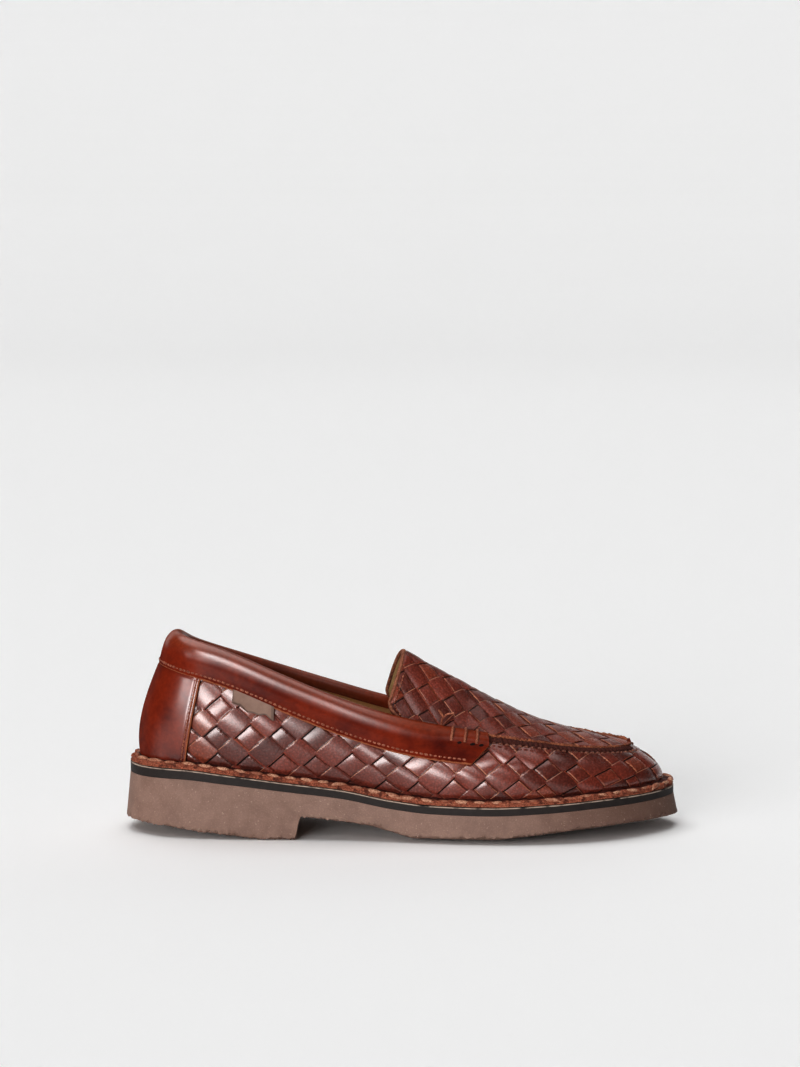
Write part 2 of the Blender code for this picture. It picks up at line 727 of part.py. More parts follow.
def make_quarter_tag(collection):
    """Blank leather tag with a wavy lower edge, hung from the collar band on the outer side."""
    wave = 1.1
    start = last.station_at(last.foot, TAG_FROM_X, False)
    end = last.station_at(last.foot, TAG_TO_X, False)

    def place(along, up):
        station = start + (end - start) * along
        top = last.wall_height(station) - COLLAR_DEPTH - GAP
        drop = TAG_DROP + wave * math.cos(4 * math.pi * along)
        return station, top - drop * (1 - up)

    return wall_patch("quarter_tag", 12, 2, TAG_THICKNESS, LEATHER_TAG, collection, place)


def main():
    for obj in list(bpy.data.objects):
        bpy.data.objects.remove(obj)
    shoe = bpy.data.collections.new("woven_moccasin")
    bpy.context.scene.collection.children.link(shoe)
    make_outsole(shoe)
    make_midsole(shoe)
    make_insole(shoe)
    join_upper(make_wall(shoe), make_apron(shoe))
    make_collar_band(shoe)
    make_heel_counter(shoe)
    make_quarter_tag(shoe)


main()
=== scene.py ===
# %% [markdown]
# # A woven moccasin, dressed for its portrait
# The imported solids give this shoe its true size. Here each of them gets the skin that the real one has:
# woven leather strips, a polished collar, waxed welt stitches and a crinkled crepe sole. Each piece is
# drafted flat, as a shoemaker cuts leather, and is then carried on to the last.

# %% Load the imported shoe
import math
from collections import namedtuple

import bpy
import numpy as np
from mathutils import Matrix, Vector, noise


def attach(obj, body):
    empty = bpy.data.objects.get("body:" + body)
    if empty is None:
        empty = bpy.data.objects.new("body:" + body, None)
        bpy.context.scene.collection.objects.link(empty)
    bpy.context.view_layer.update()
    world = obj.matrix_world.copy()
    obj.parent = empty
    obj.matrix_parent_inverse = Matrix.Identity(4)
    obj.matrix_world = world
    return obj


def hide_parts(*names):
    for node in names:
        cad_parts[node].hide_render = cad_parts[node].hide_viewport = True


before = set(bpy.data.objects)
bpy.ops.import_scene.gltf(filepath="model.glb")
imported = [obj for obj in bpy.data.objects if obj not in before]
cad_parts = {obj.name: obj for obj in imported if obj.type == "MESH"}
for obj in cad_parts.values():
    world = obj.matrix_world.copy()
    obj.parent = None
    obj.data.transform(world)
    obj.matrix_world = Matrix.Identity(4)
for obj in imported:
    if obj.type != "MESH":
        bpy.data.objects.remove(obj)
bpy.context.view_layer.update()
bpy.ops.object.select_all(action="DESELECT")
print("nodes:", sorted(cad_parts))

# %% [markdown]
# ## The last
# A shoemaker builds every leather piece over a wooden foot, the last. Ours is a table of sections from the
# heel to the toe, in millimetres, with x measured from the back of the heel. A smooth closed curve runs
# through the sections, and each section rises from the sole to the rim with a low and a high bulge.

# %% The table of sections
MM = 0.001
LastRow = namedtuple(
    "LastRow",
    "x lateral medial welt x_top top_lateral top_medial z_top medial_drop low_bulge high_bulge",
)
LAST = [
    LastRow(9.0, 0.0, 0.0, 7.6, 24.5, 0.0, 0.0, 101.4, 0.0, 9.2, 1.6),
    LastRow(14.2, 14.6, 14.6, 7.4, 26.5, 9.5, 9.5, 101.2, 1.2, 8.8, 2.0),
    LastRow(27.0, 23.2, 23.0, 6.8, 33.0, 17.4, 17.2, 99.4, 3.8, 7.5, 3.0),
    LastRow(49.5, 28.9, 28.3, 6.0, 51.0, 22.4, 22.2, 94.2, 5.4, 6.2, 4.0),
    LastRow(78.0, 31.2, 29.4, 5.5, 79.0, 26.6, 26.4, 82.9, 3.4, 5.6, 4.2),
    LastRow(108.0, 32.8, 27.8, 5.5, 109.0, 29.2, 28.6, 71.0, 1.0, 5.2, 4.4),
    LastRow(140.0, 37.2, 30.0, 5.5, 140.0, 31.6, 30.6, 61.4, 0.3, 5.2, 5.4),
    LastRow(170.0, 42.8, 37.4, 5.5, 168.0, 33.0, 32.0, 56.0, 0.0, 6.0, 6.8),
    LastRow(195.0, 44.8, 42.2, 5.5, 190.0, 32.2, 31.6, 52.6, 0.0, 6.8, 8.0),
    LastRow(220.0, 42.4, 42.8, 5.5, 212.0, 28.8, 29.0, 49.0, 0.0, 7.0, 8.4),
    LastRow(243.0, 34.8, 38.8, 5.5, 231.5, 22.4, 24.2, 45.4, 0.0, 6.6, 8.2),
    LastRow(262.0, 22.4, 29.4, 5.5, 247.5, 13.8, 17.6, 43.4, 0.0, 6.0, 7.6),
    LastRow(274.5, 8.4, 17.6, 5.5, 257.5, 4.8, 10.4, 42.7, 0.0, 5.5, 7.2),
    LastRow(279.5, -4.0, 4.0, 5.5, 261.0, -3.2, 3.2, 42.6, 0.0, 5.3, 7.1),
]
print("sections:", len(LAST))

# %% Heights along the shoe
def level_function(points):
    """A smooth curve through points of x and height that never overshoots."""
    x, z = np.array(points, float).T
    step = np.diff(z) / np.diff(x)
    slope = np.concatenate([step[:1], np.zeros(len(step) - 1), step[-1:]])
    same = step[:-1] * step[1:] > 0
    slope[1:-1][same] = 2 * step[:-1][same] * step[1:][same] / (step[:-1] + step[1:])[same]

    def value(at):
        at = np.clip(at, x[0], x[-1])
        i = np.clip(np.searchsorted(x, at) - 1, 0, len(x) - 2)
        width = x[i + 1] - x[i]
        t = (at - x[i]) / width
        return (
            z[i] * (1 + 2 * t) * (1 - t) ** 2
            + slope[i] * width * t * (1 - t) ** 2
            + z[i + 1] * t * t * (3 - 2 * t)
            + slope[i + 1] * width * t * t * (t - 1)
        )

    return value


sole_top = level_function([
    (0, 35.2), (28, 35), (55, 32.4), (86, 28.6), (112, 25.6), (138, 20.9),
    (158, 19), (187, 18.6), (217, 19.6), (249, 21), (286, 21.4),
])
midsole_thickness = level_function([(0, 5), (90, 4.1), (286, 3.7)])
heel_bottom = level_function([(0, 6.6), (20, 5.4), (40, 3.1), (56, 1.6), (72, 0), (88.3, 0)])
fore_bottom = level_function([
    (90.6, 11.8), (103, 10.7), (125, 7), (138, 3.2), (150, 0), (188, 0),
    (205, 1.4), (224, 3.4), (245, 5.1), (265, 6.1), (286, 6.6),
])
apron_crown = level_function([
    (136, 97), (144.7, 92.4), (158.2, 84.5), (173, 76.6), (186, 69.2), (198.6, 62.9),
    (209.3, 57.8), (222, 53.4), (235, 49.9), (248, 46.6), (262, 43.6),
])
print("sole top at the heel and the ball:", float(sole_top(10)), float(sole_top(180)))

# %% [markdown]
# Leather is measured along its surface, so a place on the wall is given by two lengths: its station, which
# runs round the shoe from the heel by the outer side, and its rise up the wall. Working on whole arrays
# of places at once keeps the fine weave quick to build.

# %% The last as a surface
FLANGE = 3.4


def closed_spline(knots, values, at):
    """Values along a smooth closed curve through the knots."""
    count, width = len(values), np.diff(knots)
    system, right = np.zeros((count, count)), np.zeros(values.shape)
    for i in range(count):
        before, after = width[i - 1], width[i]
        system[i, i - 1] += before
        system[i, i] += 2 * (before + after)
        system[i, (i + 1) % count] += after
        right[i] = 6 * (
            (values[(i + 1) % count] - values[i]) / after - (values[i] - values[i - 1]) / before
        )
    bend = np.linalg.solve(system, right)
    i = np.clip(np.searchsorted(knots, at, side="right") - 1, 0, count - 1)
    j = (i + 1) % count
    h = width[i][:, None]
    a = (knots[i + 1] - at)[:, None] / h
    b = 1 - a
    return a * values[i] + b * values[j] + ((a**3 - a) * bend[i] + (b**3 - b) * bend[j]) * h * h / 6


def outward(loop):
    """Level unit vectors that point out of a closed loop of points."""
    along = np.roll(loop, -1, axis=0) - np.roll(loop, 1, axis=0)
    out = np.column_stack([along[:, 1], -along[:, 0], np.zeros(len(loop))])
    arm = loop[:, :2] - loop[:, :2].mean(axis=0)
    turned = np.sign((arm[:, 0] * along[:, 1] - arm[:, 1] * along[:, 0]).mean())
    return out * turned / np.linalg.norm(out, axis=1)[:, None]


class Last:
    """Outer surface of the upper, read by station round the shoe and rise up the wall."""

    SAMPLES = 1440
    PATTERN_LEVEL = 0.35

    def __init__(self, rows):
        ring = [(row, -row.lateral, -row.top_lateral, 0.0) for row in rows[:-1]]
        ring += [(row, row.medial, row.top_medial, row.medial_drop) for row in rows[:0:-1]]
        values = np.array([
            (row.x, y, row.x_top, y_top, row.z_top - drop, row.low_bulge, row.high_bulge, row.welt)
            for row, y, y_top, drop in ring
        ])
        around = np.vstack([values, values[:1]])
        knots = np.concatenate([[0], np.cumsum(np.hypot(*np.diff(around[:, :2], axis=0).T))])
        at = np.linspace(0, knots[-1], self.SAMPLES + 1)[:-1]
        dense = closed_spline(knots, values, at)
        self.foot = np.column_stack([dense[:, :2], sole_top(dense[:, 0]) + FLANGE])
        self.top = dense[:, 2:5]
        self.low_bulge, self.high_bulge, self.welt = dense[:, 5:6], dense[:, 6:7], dense[:, 7:8]
        self.out = outward(self.foot)
        level = self.at_level(self.PATTERN_LEVEL)
        steps = np.diff(np.vstack([level, level[:1]]), axis=0)
        self.station = np.concatenate([[0], np.cumsum(np.linalg.norm(steps, axis=1))])
        self.round = self.station[-1]
        rises = np.array([self.at_level(t) for t in np.linspace(0, 1, 25)])
        self.height = np.linalg.norm(np.diff(rises, axis=0), axis=2).sum(axis=0)[:, None]

    def at_level(self, t):
        bulge = 3 * t * (1 - t) ** 2 * self.low_bulge + 3 * t * t * (1 - t) * self.high_bulge
        return self.foot + (self.top - self.foot) * t + self.out * bulge

    def read(self, column, station):
        loop, where = np.vstack([column, column[:1]]), np.mod(station, self.round)
        return np.stack([np.interp(where, self.station, part) for part in loop.T], axis=-1)

    def wall_height(self, station):
        return self.read(self.height, station)[..., 0]

    def skin(self, station, rise):
        foot, top, out = (self.read(c, station) for c in (self.foot, self.top, self.out))
        low, high = self.read(self.low_bulge, station), self.read(self.high_bulge, station)
        height = self.read(self.height, station)
        t = np.asarray(rise)[..., None] / height
        k = np.clip(t, 0, 1)
        point = foot + (top - foot) * k + out * (3 * k * (1 - k) ** 2 * low + 3 * k * k * (1 - k) * high)
        tangent = top - foot - 3 * out * high
        tangent /= np.linalg.norm(tangent, axis=-1, keepdims=True)
        return point + tangent * np.maximum(t - 1, 0) * height

    def normal(self, station, rise):
        step = 0.5
        rise = np.maximum(rise, step)
        along = self.skin(station + step, rise) - self.skin(station - step, rise)
        upward = self.skin(station, rise + step) - self.skin(station, rise - step)
        facing = np.cross(along, upward)
        return facing / np.linalg.norm(facing, axis=-1, keepdims=True)

    def offset(self, station, rise, out):
        return self.skin(station, rise) + self.normal(station, rise) * np.asarray(out)[..., None]

    def station_at(self, column, x, inner):
        """The station on the outer or the inner side where a sampled column reaches x."""
        toe = int(np.argmax(column[:, 0]))
        side = slice(toe, None) if inner else slice(0, toe + 1)
        order = np.argsort(column[side, 0])
        return float(np.interp(x, column[side, 0][order], self.station[:-1][side][order]))


last = Last(LAST)
print("round the shoe, in mm:", round(last.round, 1))

# %% [markdown]
# The sole layers are plates, so they are read from plan outlines instead: how far the outer and the inner
# side stand out at each x.

# %% Plan outlines
class Outline:
    """A closed plan outline, read as an outer and an inner y at each x."""

    def __init__(self, loop):
        heel, toe = int(np.argmin(loop[:, 0])), int(np.argmax(loop[:, 0]))
        loop = np.roll(loop, -heel, axis=0)
        toe = (toe - heel) % len(loop)
        self.outer = loop[: toe + 1]
        self.inner = np.vstack([loop[toe:], loop[:1]])[::-1]
        self.start, self.end = self.outer[0, 0], self.outer[-1, 0]

    def sides(self, x):
        outer = np.interp(x, self.outer[:, 0], self.outer[:, 1])
        return outer, np.interp(x, self.inner[:, 0], self.inner[:, 1])

    def point(self, share, across):
        """share runs from heel to toe and across from the outer (0) to the inner side (1)."""
        x = self.start + (self.end - self.start) * share
        outer, inner = self.sides(x)
        return x, outer + (inner - outer) * across


SOLE_FLARE, INSOLE_INSET = 2.2, 3.3
welt_outline = Outline(last.foot + last.out * last.welt)
tread_outline = Outline(last.foot + last.out * (last.welt + SOLE_FLARE))
insole_outline = Outline(last.foot - last.out * INSOLE_INSET)
tread_y = np.concatenate([tread_outline.outer[:, 1], tread_outline.inner[:, 1]])
MIDDLE = np.array([(tread_outline.start + tread_outline.end) / 2, (tread_y.min() + tread_y.max()) / 2, 0])
print("sole length, in mm:", round(tread_outline.end - tread_outline.start, 1))

# %% [markdown]
# ## Sheets carried on to the last
# A sheet of leather starts as a flat grid. Every vertex of the grid is then moved to where the pattern puts
# it. Edit-mode tools can't follow a last's double curve, so a placing function does that one step. The
# sheet keeps a UV map in the pattern's own measures, and the finishes read it.

# %% Helpers for sheets
def vertex_places(piece):
    flat = np.empty(len(piece.data.vertices) * 3)
    piece.data.vertices.foreach_get("co", flat)
    return flat.reshape(-1, 3)


def set_pattern(piece, pattern):
    """Stores two pattern measures for each vertex as the piece's UV map."""
    layer = piece.data.uv_layers.active
    layer.name = "pattern"
    corner = np.empty(len(piece.data.loops), np.int32)
    piece.data.loops.foreach_get("vertex_index", corner)
    layer.data.foreach_set("uv", np.asarray(pattern, np.float32)[corner].ravel())


def carried_sheet(name, columns, rows, place):
    """A grid whose vertices go to place(along, up), which gives points in mm and pattern measures."""
    bpy.ops.object.select_all(action="DESELECT")
    bpy.ops.mesh.primitive_grid_add(x_subdivisions=columns, y_subdivisions=rows, size=1.0)
    piece = bpy.context.object
    piece.name = piece.data.name = name
    flat = vertex_places(piece)
    points, pattern = place(flat[:, 0] + 0.5, flat[:, 1] + 0.5)
    piece.data.vertices.foreach_set("co", ((points - MIDDLE) * MM).ravel())
    set_pattern(piece, pattern)
    piece.data.update()
    return piece


def in_edit_mode(piece, *steps):
    """Runs edit-mode steps on everything in one piece."""
    bpy.ops.object.select_all(action="DESELECT")
    bpy.context.view_layer.objects.active = piece
    piece.select_set(True)
    bpy.ops.object.mode_set(mode="EDIT")
    bpy.ops.mesh.select_all(action="SELECT")
    for step in steps:
        step()
    bpy.ops.object.mode_set(mode="OBJECT")


SEAM_REACH = 0.02


def join_seams(piece):
    in_edit_mode(piece, lambda: bpy.ops.mesh.remove_doubles(threshold=SEAM_REACH * MM))


def face_out(piece):
    in_edit_mode(piece, lambda: bpy.ops.mesh.normals_make_consistent(inside=False))


def close_ends(piece):
    """Fills the two open ends of a tube."""
    in_edit_mode(
        piece,
        lambda: bpy.ops.mesh.select_all(action="DESELECT"),
        lambda: bpy.ops.mesh.select_non_manifold(),
        lambda: bpy.ops.mesh.fill(),
    )
    face_out(piece)


def thicken(piece, thickness, offset=-1.0):
    """Gives a sheet its thickness in mm and applies it."""
    bpy.context.view_layer.objects.active = piece
    solid = piece.modifiers.new("thickness", "SOLIDIFY")
    solid.thickness, solid.offset, solid.use_even_offset = thickness * MM, offset, False
    bpy.ops.object.modifier_apply(modifier=solid.name)


def finish_piece(piece, material, angle=40.0, replaces=()):
    """Shades a piece, gives it its finish and ties it to the shoe."""
    bpy.ops.object.select_all(action="DESELECT")
    bpy.context.view_layer.objects.active = piece
    piece.select_set(True)
    bpy.ops.object.shade_smooth_by_angle(angle=math.radians(angle))
    piece.data.materials.clear()
    piece.data.materials.append(material)
    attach(piece, "root")
    if replaces:
        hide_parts(*replaces)
    print(piece.name, "faces:", len(piece.data.polygons))
    return piece


def eased(share):
    share = np.clip(share, 0, 1)
    return share * share * (3 - 2 * share)


def rough(points, size, seed=0.0):
    """Smooth noise from -1 to 1 at points in mm, with features of about this size."""
    return np.array([noise.noise(Vector((p[0] / size + seed, p[1] / size, p[2] / size))) for p in points])


# %% [markdown]
# ## Finishes as sums
# A finish is a small program of nodes. The class below lets us write that program as plain sums: a Socket
# stands for one output of a node, and adding or multiplying sockets adds Math nodes.

# %% Sockets and finishes
class Socket:
    """An output of a node that takes part in sums."""

    def __init__(self, finish, link):
        self.finish, self.link = finish, link

    def math(self, operation, *others):
        values = {i: value for i, value in enumerate((self, *others))}
        return self.finish.node("ShaderNodeMath", {"operation": operation}, values)

    def flipped(self, operation, other):
        return self.finish.node("ShaderNodeMath", {"operation": operation}, {0: other, 1: self})

    def __add__(self, other): return self.math("ADD", other)
    def __sub__(self, other): return self.math("SUBTRACT", other)
    def __mul__(self, other): return self.math("MULTIPLY", other)
    def __truediv__(self, other): return self.math("DIVIDE", other)
    def __rsub__(self, other): return self.flipped("SUBTRACT", other)
    __radd__, __rmul__ = __add__, __mul__

    def above(self, edge): return self.math("GREATER_THAN", edge)
    def below(self, edge): return self.math("LESS_THAN", edge)
    def floor(self): return self.math("FLOOR")
    def fraction(self): return self.math("FRACT")
    def size(self): return self.math("ABSOLUTE")
    def least(self, other): return self.math("MINIMUM", other)
    def most(self, other): return self.math("MAXIMUM", other)

    def ramp(self, low, high, to_low=0.0, to_high=1.0):
        """Maps low..high smoothly to to_low..to_high."""
        settings = {"interpolation_type": "SMOOTHSTEP"}
        values = {"Value": self, "From Min": low, "From Max": high, "To Min": to_low, "To Max": to_high}
        return self.finish.node("ShaderNodeMapRange", settings, values)


class Finish:
    """A material whose nodes come from node(), with one Principled shader at its end."""

    def __init__(self, name):
        self.material = bpy.data.materials.new(name)
        self.material.use_nodes = True
        self.tree = self.material.node_tree
        self.shader = self.tree.nodes["Principled BSDF"]
        self.fix({"Specular IOR Level": 0.2})

    def node(self, kind, settings=None, values=None, output=0):
        made = self.tree.nodes.new(kind)
        for name, value in (settings or {}).items():
            setattr(made, name, value)
        for name, value in (values or {}).items():
            self.give(made.inputs[name], value)
        return Socket(self, made.outputs[output])

    def give(self, socket, value):
        if isinstance(value, Socket):
            self.tree.links.new(value.link, socket)
        else:
            socket.default_value = value

    def place(self):
        return self.node("ShaderNodeTexCoord", output="Object")

    def pattern(self):
        """The two measures of the piece's pattern."""
        made = self.node("ShaderNodeUVMap", {"uv_map": "pattern"})
        u = self.node("ShaderNodeSeparateXYZ", values={0: made}, output=0)
        return u, Socket(self, u.link.node.outputs[1])

    def cloud(self, size_mm, detail=3.0, roughness=0.55, stretch=None):
        """Noise from 0 to 1 with features of this size."""
        where = self.place()
        if stretch:
            where = self.node("ShaderNodeMapping", values={"Vector": where, "Scale": stretch})
        values = {"Vector": where, "Scale": 1.0 / (size_mm * MM), "Detail": detail, "Roughness": roughness}
        return self.node("ShaderNodeTexNoise", values=values)

    def cells(self, size_mm):
        """Distance from the middle of pebbles of this size."""
        values = {"Vector": self.place(), "Scale": 1.0 / (size_mm * MM)}
        return self.node("ShaderNodeTexVoronoi", values=values, output="Distance")

    def mix(self, share, first, second):
        """A colour between two colours."""
        made = self.node("ShaderNodeMix", {"data_type": "RGBA"}, output=2)
        node = made.link.node
        self.give(node.inputs[0], share)
        for socket, colour in ((node.inputs[6], first), (node.inputs[7], second)):
            self.give(socket, colour if isinstance(colour, Socket) else (*colour, 1.0))
        return made

    def shade(self, colour, amount):
        """A colour made lighter or darker by an amount."""
        grey = self.node("ShaderNodeCombineXYZ", values={0: amount, 1: amount, 2: amount})
        return self.node("ShaderNodeVectorMath", {"operation": "MULTIPLY"}, {0: colour, 1: grey})

    def bump(self, height, distance_mm, strength=1.0):
        values = {"Height": height, "Distance": distance_mm * MM, "Strength": strength}
        return self.node("ShaderNodeBump", values=values)

    def fix(self, constants):
        """Sets values of the shader that are the same all over."""
        for name, value in constants.items():
            self.shader.inputs[name].default_value = value

    def set(self, **sockets):
        """Feeds the shader's inputs and gives the finished material."""
        for name, value in sockets.items():
            self.give(self.shader.inputs[name.replace("_", " ").title()], value)
        return self.material


print("finishes are ready to be mixed")

# %% [markdown]
# ## Camera, floor and light
# The photograph was taken with a long lens from the outer side, a little above the shoe, so the camera stands
# almost two metres away and looks slightly down. A pale floor sweeps up into a pale wall behind the shoe,
# as in a studio, and no edge shows. Its paper gets a little darker towards the wall, where more light falls
# on it, so that the picture's ground stays even. Broad suns act as soft boxes. Some of them show only as
# gloss on the leather, the way a photographer adds narrow strip lights for a shine.

# %% Camera
CAMERA_PLACE, CAMERA_TILT_DEGREES = (-0.0013, -1.7876, 0.3575), 83.5
LENS_MM, SENSOR_MM, FAR_CLIP = 117.2, 36.0, 60.0
PICTURE_GAMMA, PICTURE_EXPOSURE = 0.78, 0.02
scene = bpy.context.scene
camera_data = bpy.data.cameras.new("portrait")
camera_data.sensor_width, camera_data.lens, camera_data.clip_end = SENSOR_MM, LENS_MM, FAR_CLIP
camera = bpy.data.objects.new("portrait", camera_data)
camera.location = CAMERA_PLACE
camera.rotation_euler = (math.radians(CAMERA_TILT_DEGREES), 0.0, 0.0)
scene.collection.objects.link(camera)
scene.camera = camera
scene.view_settings.view_transform = "Standard"
scene.view_settings.gamma, scene.view_settings.exposure = PICTURE_GAMMA, PICTURE_EXPOSURE
print("camera stands", round(-camera.location.y, 2), "m away")

# %% Floor that sweeps up behind the shoe
FLOOR_SIZE, WALL_RISE, SWEEP_RADIUS, SWEEP_STEPS = 16.0, 7.0, 4.0, 90
NEAR_PAPER, FAR_PAPER, FAR_PAPER_Y = (0.92, 0.92, 0.92), (0.74, 0.74, 0.74), 6.2


def select_edges(piece, wanted):
    """Selects the edges of a piece whose middle is wanted, and enters edit mode."""
    bpy.ops.object.select_all(action="DESELECT")
    bpy.context.view_layer.objects.active = piece
    piece.select_set(True)
    bpy.ops.object.mode_set(mode="EDIT")
    bpy.ops.mesh.select_mode(type="EDGE")
    bpy.ops.mesh.select_all(action="DESELECT")
    bpy.ops.object.mode_set(mode="OBJECT")
    spots = vertex_places(piece)
    for edge in piece.data.edges:
        edge.select = bool(wanted(spots[list(edge.vertices)].mean(axis=0)))
    bpy.ops.object.mode_set(mode="EDIT")


bpy.ops.mesh.primitive_plane_add(size=FLOOR_SIZE)
floor = bpy.context.object
floor.name = "studio_floor"
almost_back = FLOOR_SIZE / 2 - 0.1
select_edges(floor, lambda middle: middle[1] > almost_back)
bpy.ops.mesh.extrude_region_move(TRANSFORM_OT_translate={"value": (0, 0, WALL_RISE)})
bpy.ops.object.mode_set(mode="OBJECT")
select_edges(floor, lambda middle: middle[1] > almost_back and middle[2] < 0.1)
bpy.ops.mesh.bevel(offset=SWEEP_RADIUS, segments=SWEEP_STEPS, affect="EDGES")
bpy.ops.object.mode_set(mode="OBJECT")
paper = Finish("studio_paper")
behind_shoe = paper.node("ShaderNodeSeparateXYZ", values={0: paper.place()}, output="Y")
up_the_sweep = (behind_shoe / FAR_PAPER_Y).most(0.0).least(1.0)
paper_tone = paper.mix(up_the_sweep, NEAR_PAPER, FAR_PAPER)
paper.fix({"Specular IOR Level": 0.1})
floor.data.materials.append(paper.set(base_color=paper_tone, roughness=0.9))
print("floor faces:", len(floor.data.polygons))

# %% Soft light
def add_sun(name, towards_light, strength, width_degrees, gloss_only=False):
    """A broad sun. One for gloss only shows in polished surfaces and leaves the floor alone."""
    lamp = bpy.data.lights.new(name, "SUN")
    lamp.energy, lamp.angle = strength, math.radians(width_degrees)
    sun = bpy.data.objects.new(name, lamp)
    sun.rotation_euler = Vector(towards_light).to_track_quat("Z", "Y").to_euler()
    sun.visible_diffuse = not gloss_only
    scene.collection.objects.link(sun)


AIR_STRENGTH = 0.03
world = bpy.data.worlds.new("studio_air")
world.use_nodes = True
air = world.node_tree.nodes["Background"].inputs
air["Color"].default_value, air["Strength"].default_value = (1.0, 1.0, 1.0, 1.0), AIR_STRENGTH
scene.world = world
add_sun("left_soft_box", (-0.36, -0.92, 0.14), 2.0, 25.0)
add_sun("left_gloss", (-0.42, -0.90, 0.07), 0.6, 22.0, gloss_only=True)
add_sun("far_left_box", (-0.70, -0.67, 0.26), 0.44, 14.0)
add_sun("strip_light_1", (-0.26, -0.75, 0.62), 0.36, 16.0, gloss_only=True)
add_sun("strip_light_2", (-0.06, -0.77, 0.62), 0.64, 18.0, gloss_only=True)
add_sun("strip_light_3", (0.12, -0.72, 0.68), 0.26, 18.0, gloss_only=True)
add_sun("front_soft_box", (-0.2, -0.80, 0.60), 0.4, 20.0)
add_sun("top_soft_box", (-0.12, 0.10, 1.0), 2.05, 62.0)

# %% [markdown]
# ## The weave as a drawing
# The wall is woven from two families of strips that cross at right angles, one over and one under. On the
# flat pattern they are two sets of straight lines. The pattern is one flat piece for the whole front of the
# shoe, so its strips turn with it round the toe, and those that fall towards the toe lie flatter near the
# heel. The strips of the real shoe aren't equally wide, so their edges are listed one by one along the side
# that the photograph shows, and repeat evenly elsewhere.

# %% Flat pattern of the wall
PATTERN_LENGTH, PATTERN_STEP = 612, 0.5
TURN_DEGREES = [
    (0, 0), (180, 0), (190, 4), (211, 8), (231, 14), (250, 21), (266, 28), (280, 33), (294, 38),
    (306, 42), (430, 84), (PATTERN_LENGTH, 84),
]
pattern_station = np.arange(0, PATTERN_LENGTH, PATTERN_STEP)
pattern_turn = np.radians(np.interp(pattern_station, *np.array(TURN_DEGREES, float).T))
middle_turn = (pattern_turn[1:] + pattern_turn[:-1]) / 2
pattern_x, pattern_y = (
    np.concatenate([[0], np.cumsum(part(middle_turn)) * PATTERN_STEP]) for part in (np.cos, np.sin)
)


def flat_place(station, rise):
    """Where a place on the wall lies on the flat pattern, in mm."""
    turn = np.interp(station, pattern_station, pattern_turn)
    x = np.interp(station, pattern_station, pattern_x) - rise * np.sin(turn)
    return x, np.interp(station, pattern_station, pattern_y) + rise * np.cos(turn)


RISING_EDGES = [
    17, 31, 46, 61, 76.5, 92, 107, 121, 135, 150, 165.5, 179.6, 194.2, 208.3, 222.5, 236.5,
]
FALLING_EDGES = [60, 77.5, 100.3, 118, 144, 164, 192, 207, 226, 237, 254.5, 268.5, 288.5, 302, 320]
RISING_PITCH, FALLING_PITCH = 14.6, 17.5
FALLING_LEAN = [
    (0, 0.1), (40, 0.24), (75, 0.36), (110, 0.42), (138, 0.7), (158, 0.65), (178, 0.1), (190, 0),
]
LEAN_ABOUT_RISE = 18.0


def strip_number(value, edges, pitch, first):
    """Counts strips: whole numbers lie on strip edges, and first is the number of the first edge."""
    count = len(edges) - 1
    inside = np.interp(value, edges, np.arange(count + 1))
    before = np.minimum(value - edges[0], 0) / pitch
    after = np.maximum(value - edges[-1], 0) / pitch
    return first + inside + before + after


def wall_weave(station, rise):
    x, y = flat_place(station, rise)
    rising = strip_number(x - y, RISING_EDGES, RISING_PITCH, 1)
    lean = np.interp(station, *np.array(FALLING_LEAN, float).T)
    falling = strip_number(x + y + lean * (rise - LEAN_ABOUT_RISE), FALLING_EDGES, FALLING_PITCH, -1)
    return rising, falling


print("strips on the side in view:", len(RISING_EDGES) - 1, "by", len(FALLING_EDGES) - 1)

# %% [markdown]
# A strip rises over one neighbour and dives under the next. The strips of one family lie side by side and
# spread a little past their lines; those of the other are narrower than the space they have. The height
# below is the higher of the two strips at each place, so the edge of the upper strip stands over the
# diving one, as in real weaving.

# %% Height of the weave
RISING_SPREAD, FALLING_SPREAD = 0.045, -0.11
STRIP_ARCH = 0.55


def strip_height(number, along, turned):
    """Height along a strip, which goes over and under by turns and is flat on top."""
    wave = np.where(np.mod(number, 2) == 0, 1.0, -1.0) * np.sin(np.pi * along) * turned
    return wave * (1.2 - 0.2 * wave * wave)


def weave_height(rising, falling):
    """From about 0 in the corners to 1 on top of a strip."""
    leans = (-RISING_SPREAD, 0.0, RISING_SPREAD)
    first = np.max([strip_height(np.floor(rising + lean), falling, 1.0) for lean in leans], axis=0)
    second = strip_height(np.floor(falling), rising, -1.0)
    on_strip = np.abs(np.mod(falling, 1) - 0.5) < 0.5 + FALLING_SPREAD
    return np.where(on_strip, np.maximum(first, second), first)


print("arch of a strip, in mm:", STRIP_ARCH)

# %% [markdown]
# ## Woven leather
# The strips are vegetable-tanned leather: red-brown, waxed, with a fine pebbled grain. Each strip has its own
# tone and a pale cut edge where it lies on top. That edge is painted brighter where it faces the light and
# fainter where it faces away, a painted highlight. Where a strip dives, a dark line of painted shadow stands
# for the shade under the upper strip's edge. The finish counts strips from the pattern's two measures, so the
# lines stay sharp however close the camera comes. A clear coat stands for the wax, and it is left off cut
# edges, the painted shadow lines and diving parts.

# %% Woven leather finish
RISING_WIDTH, FALLING_WIDTH = 10.3, 12.4
FALLING_COVER = 0.07
DARK_STRIP, LIGHT_STRIP = (0.100, 0.0240, 0.0170), (0.235, 0.0500, 0.0310)
RUBBED_STRIP = (0.285, 0.0670, 0.0320)
CUT_EDGE = (0.46, 0.20, 0.115)


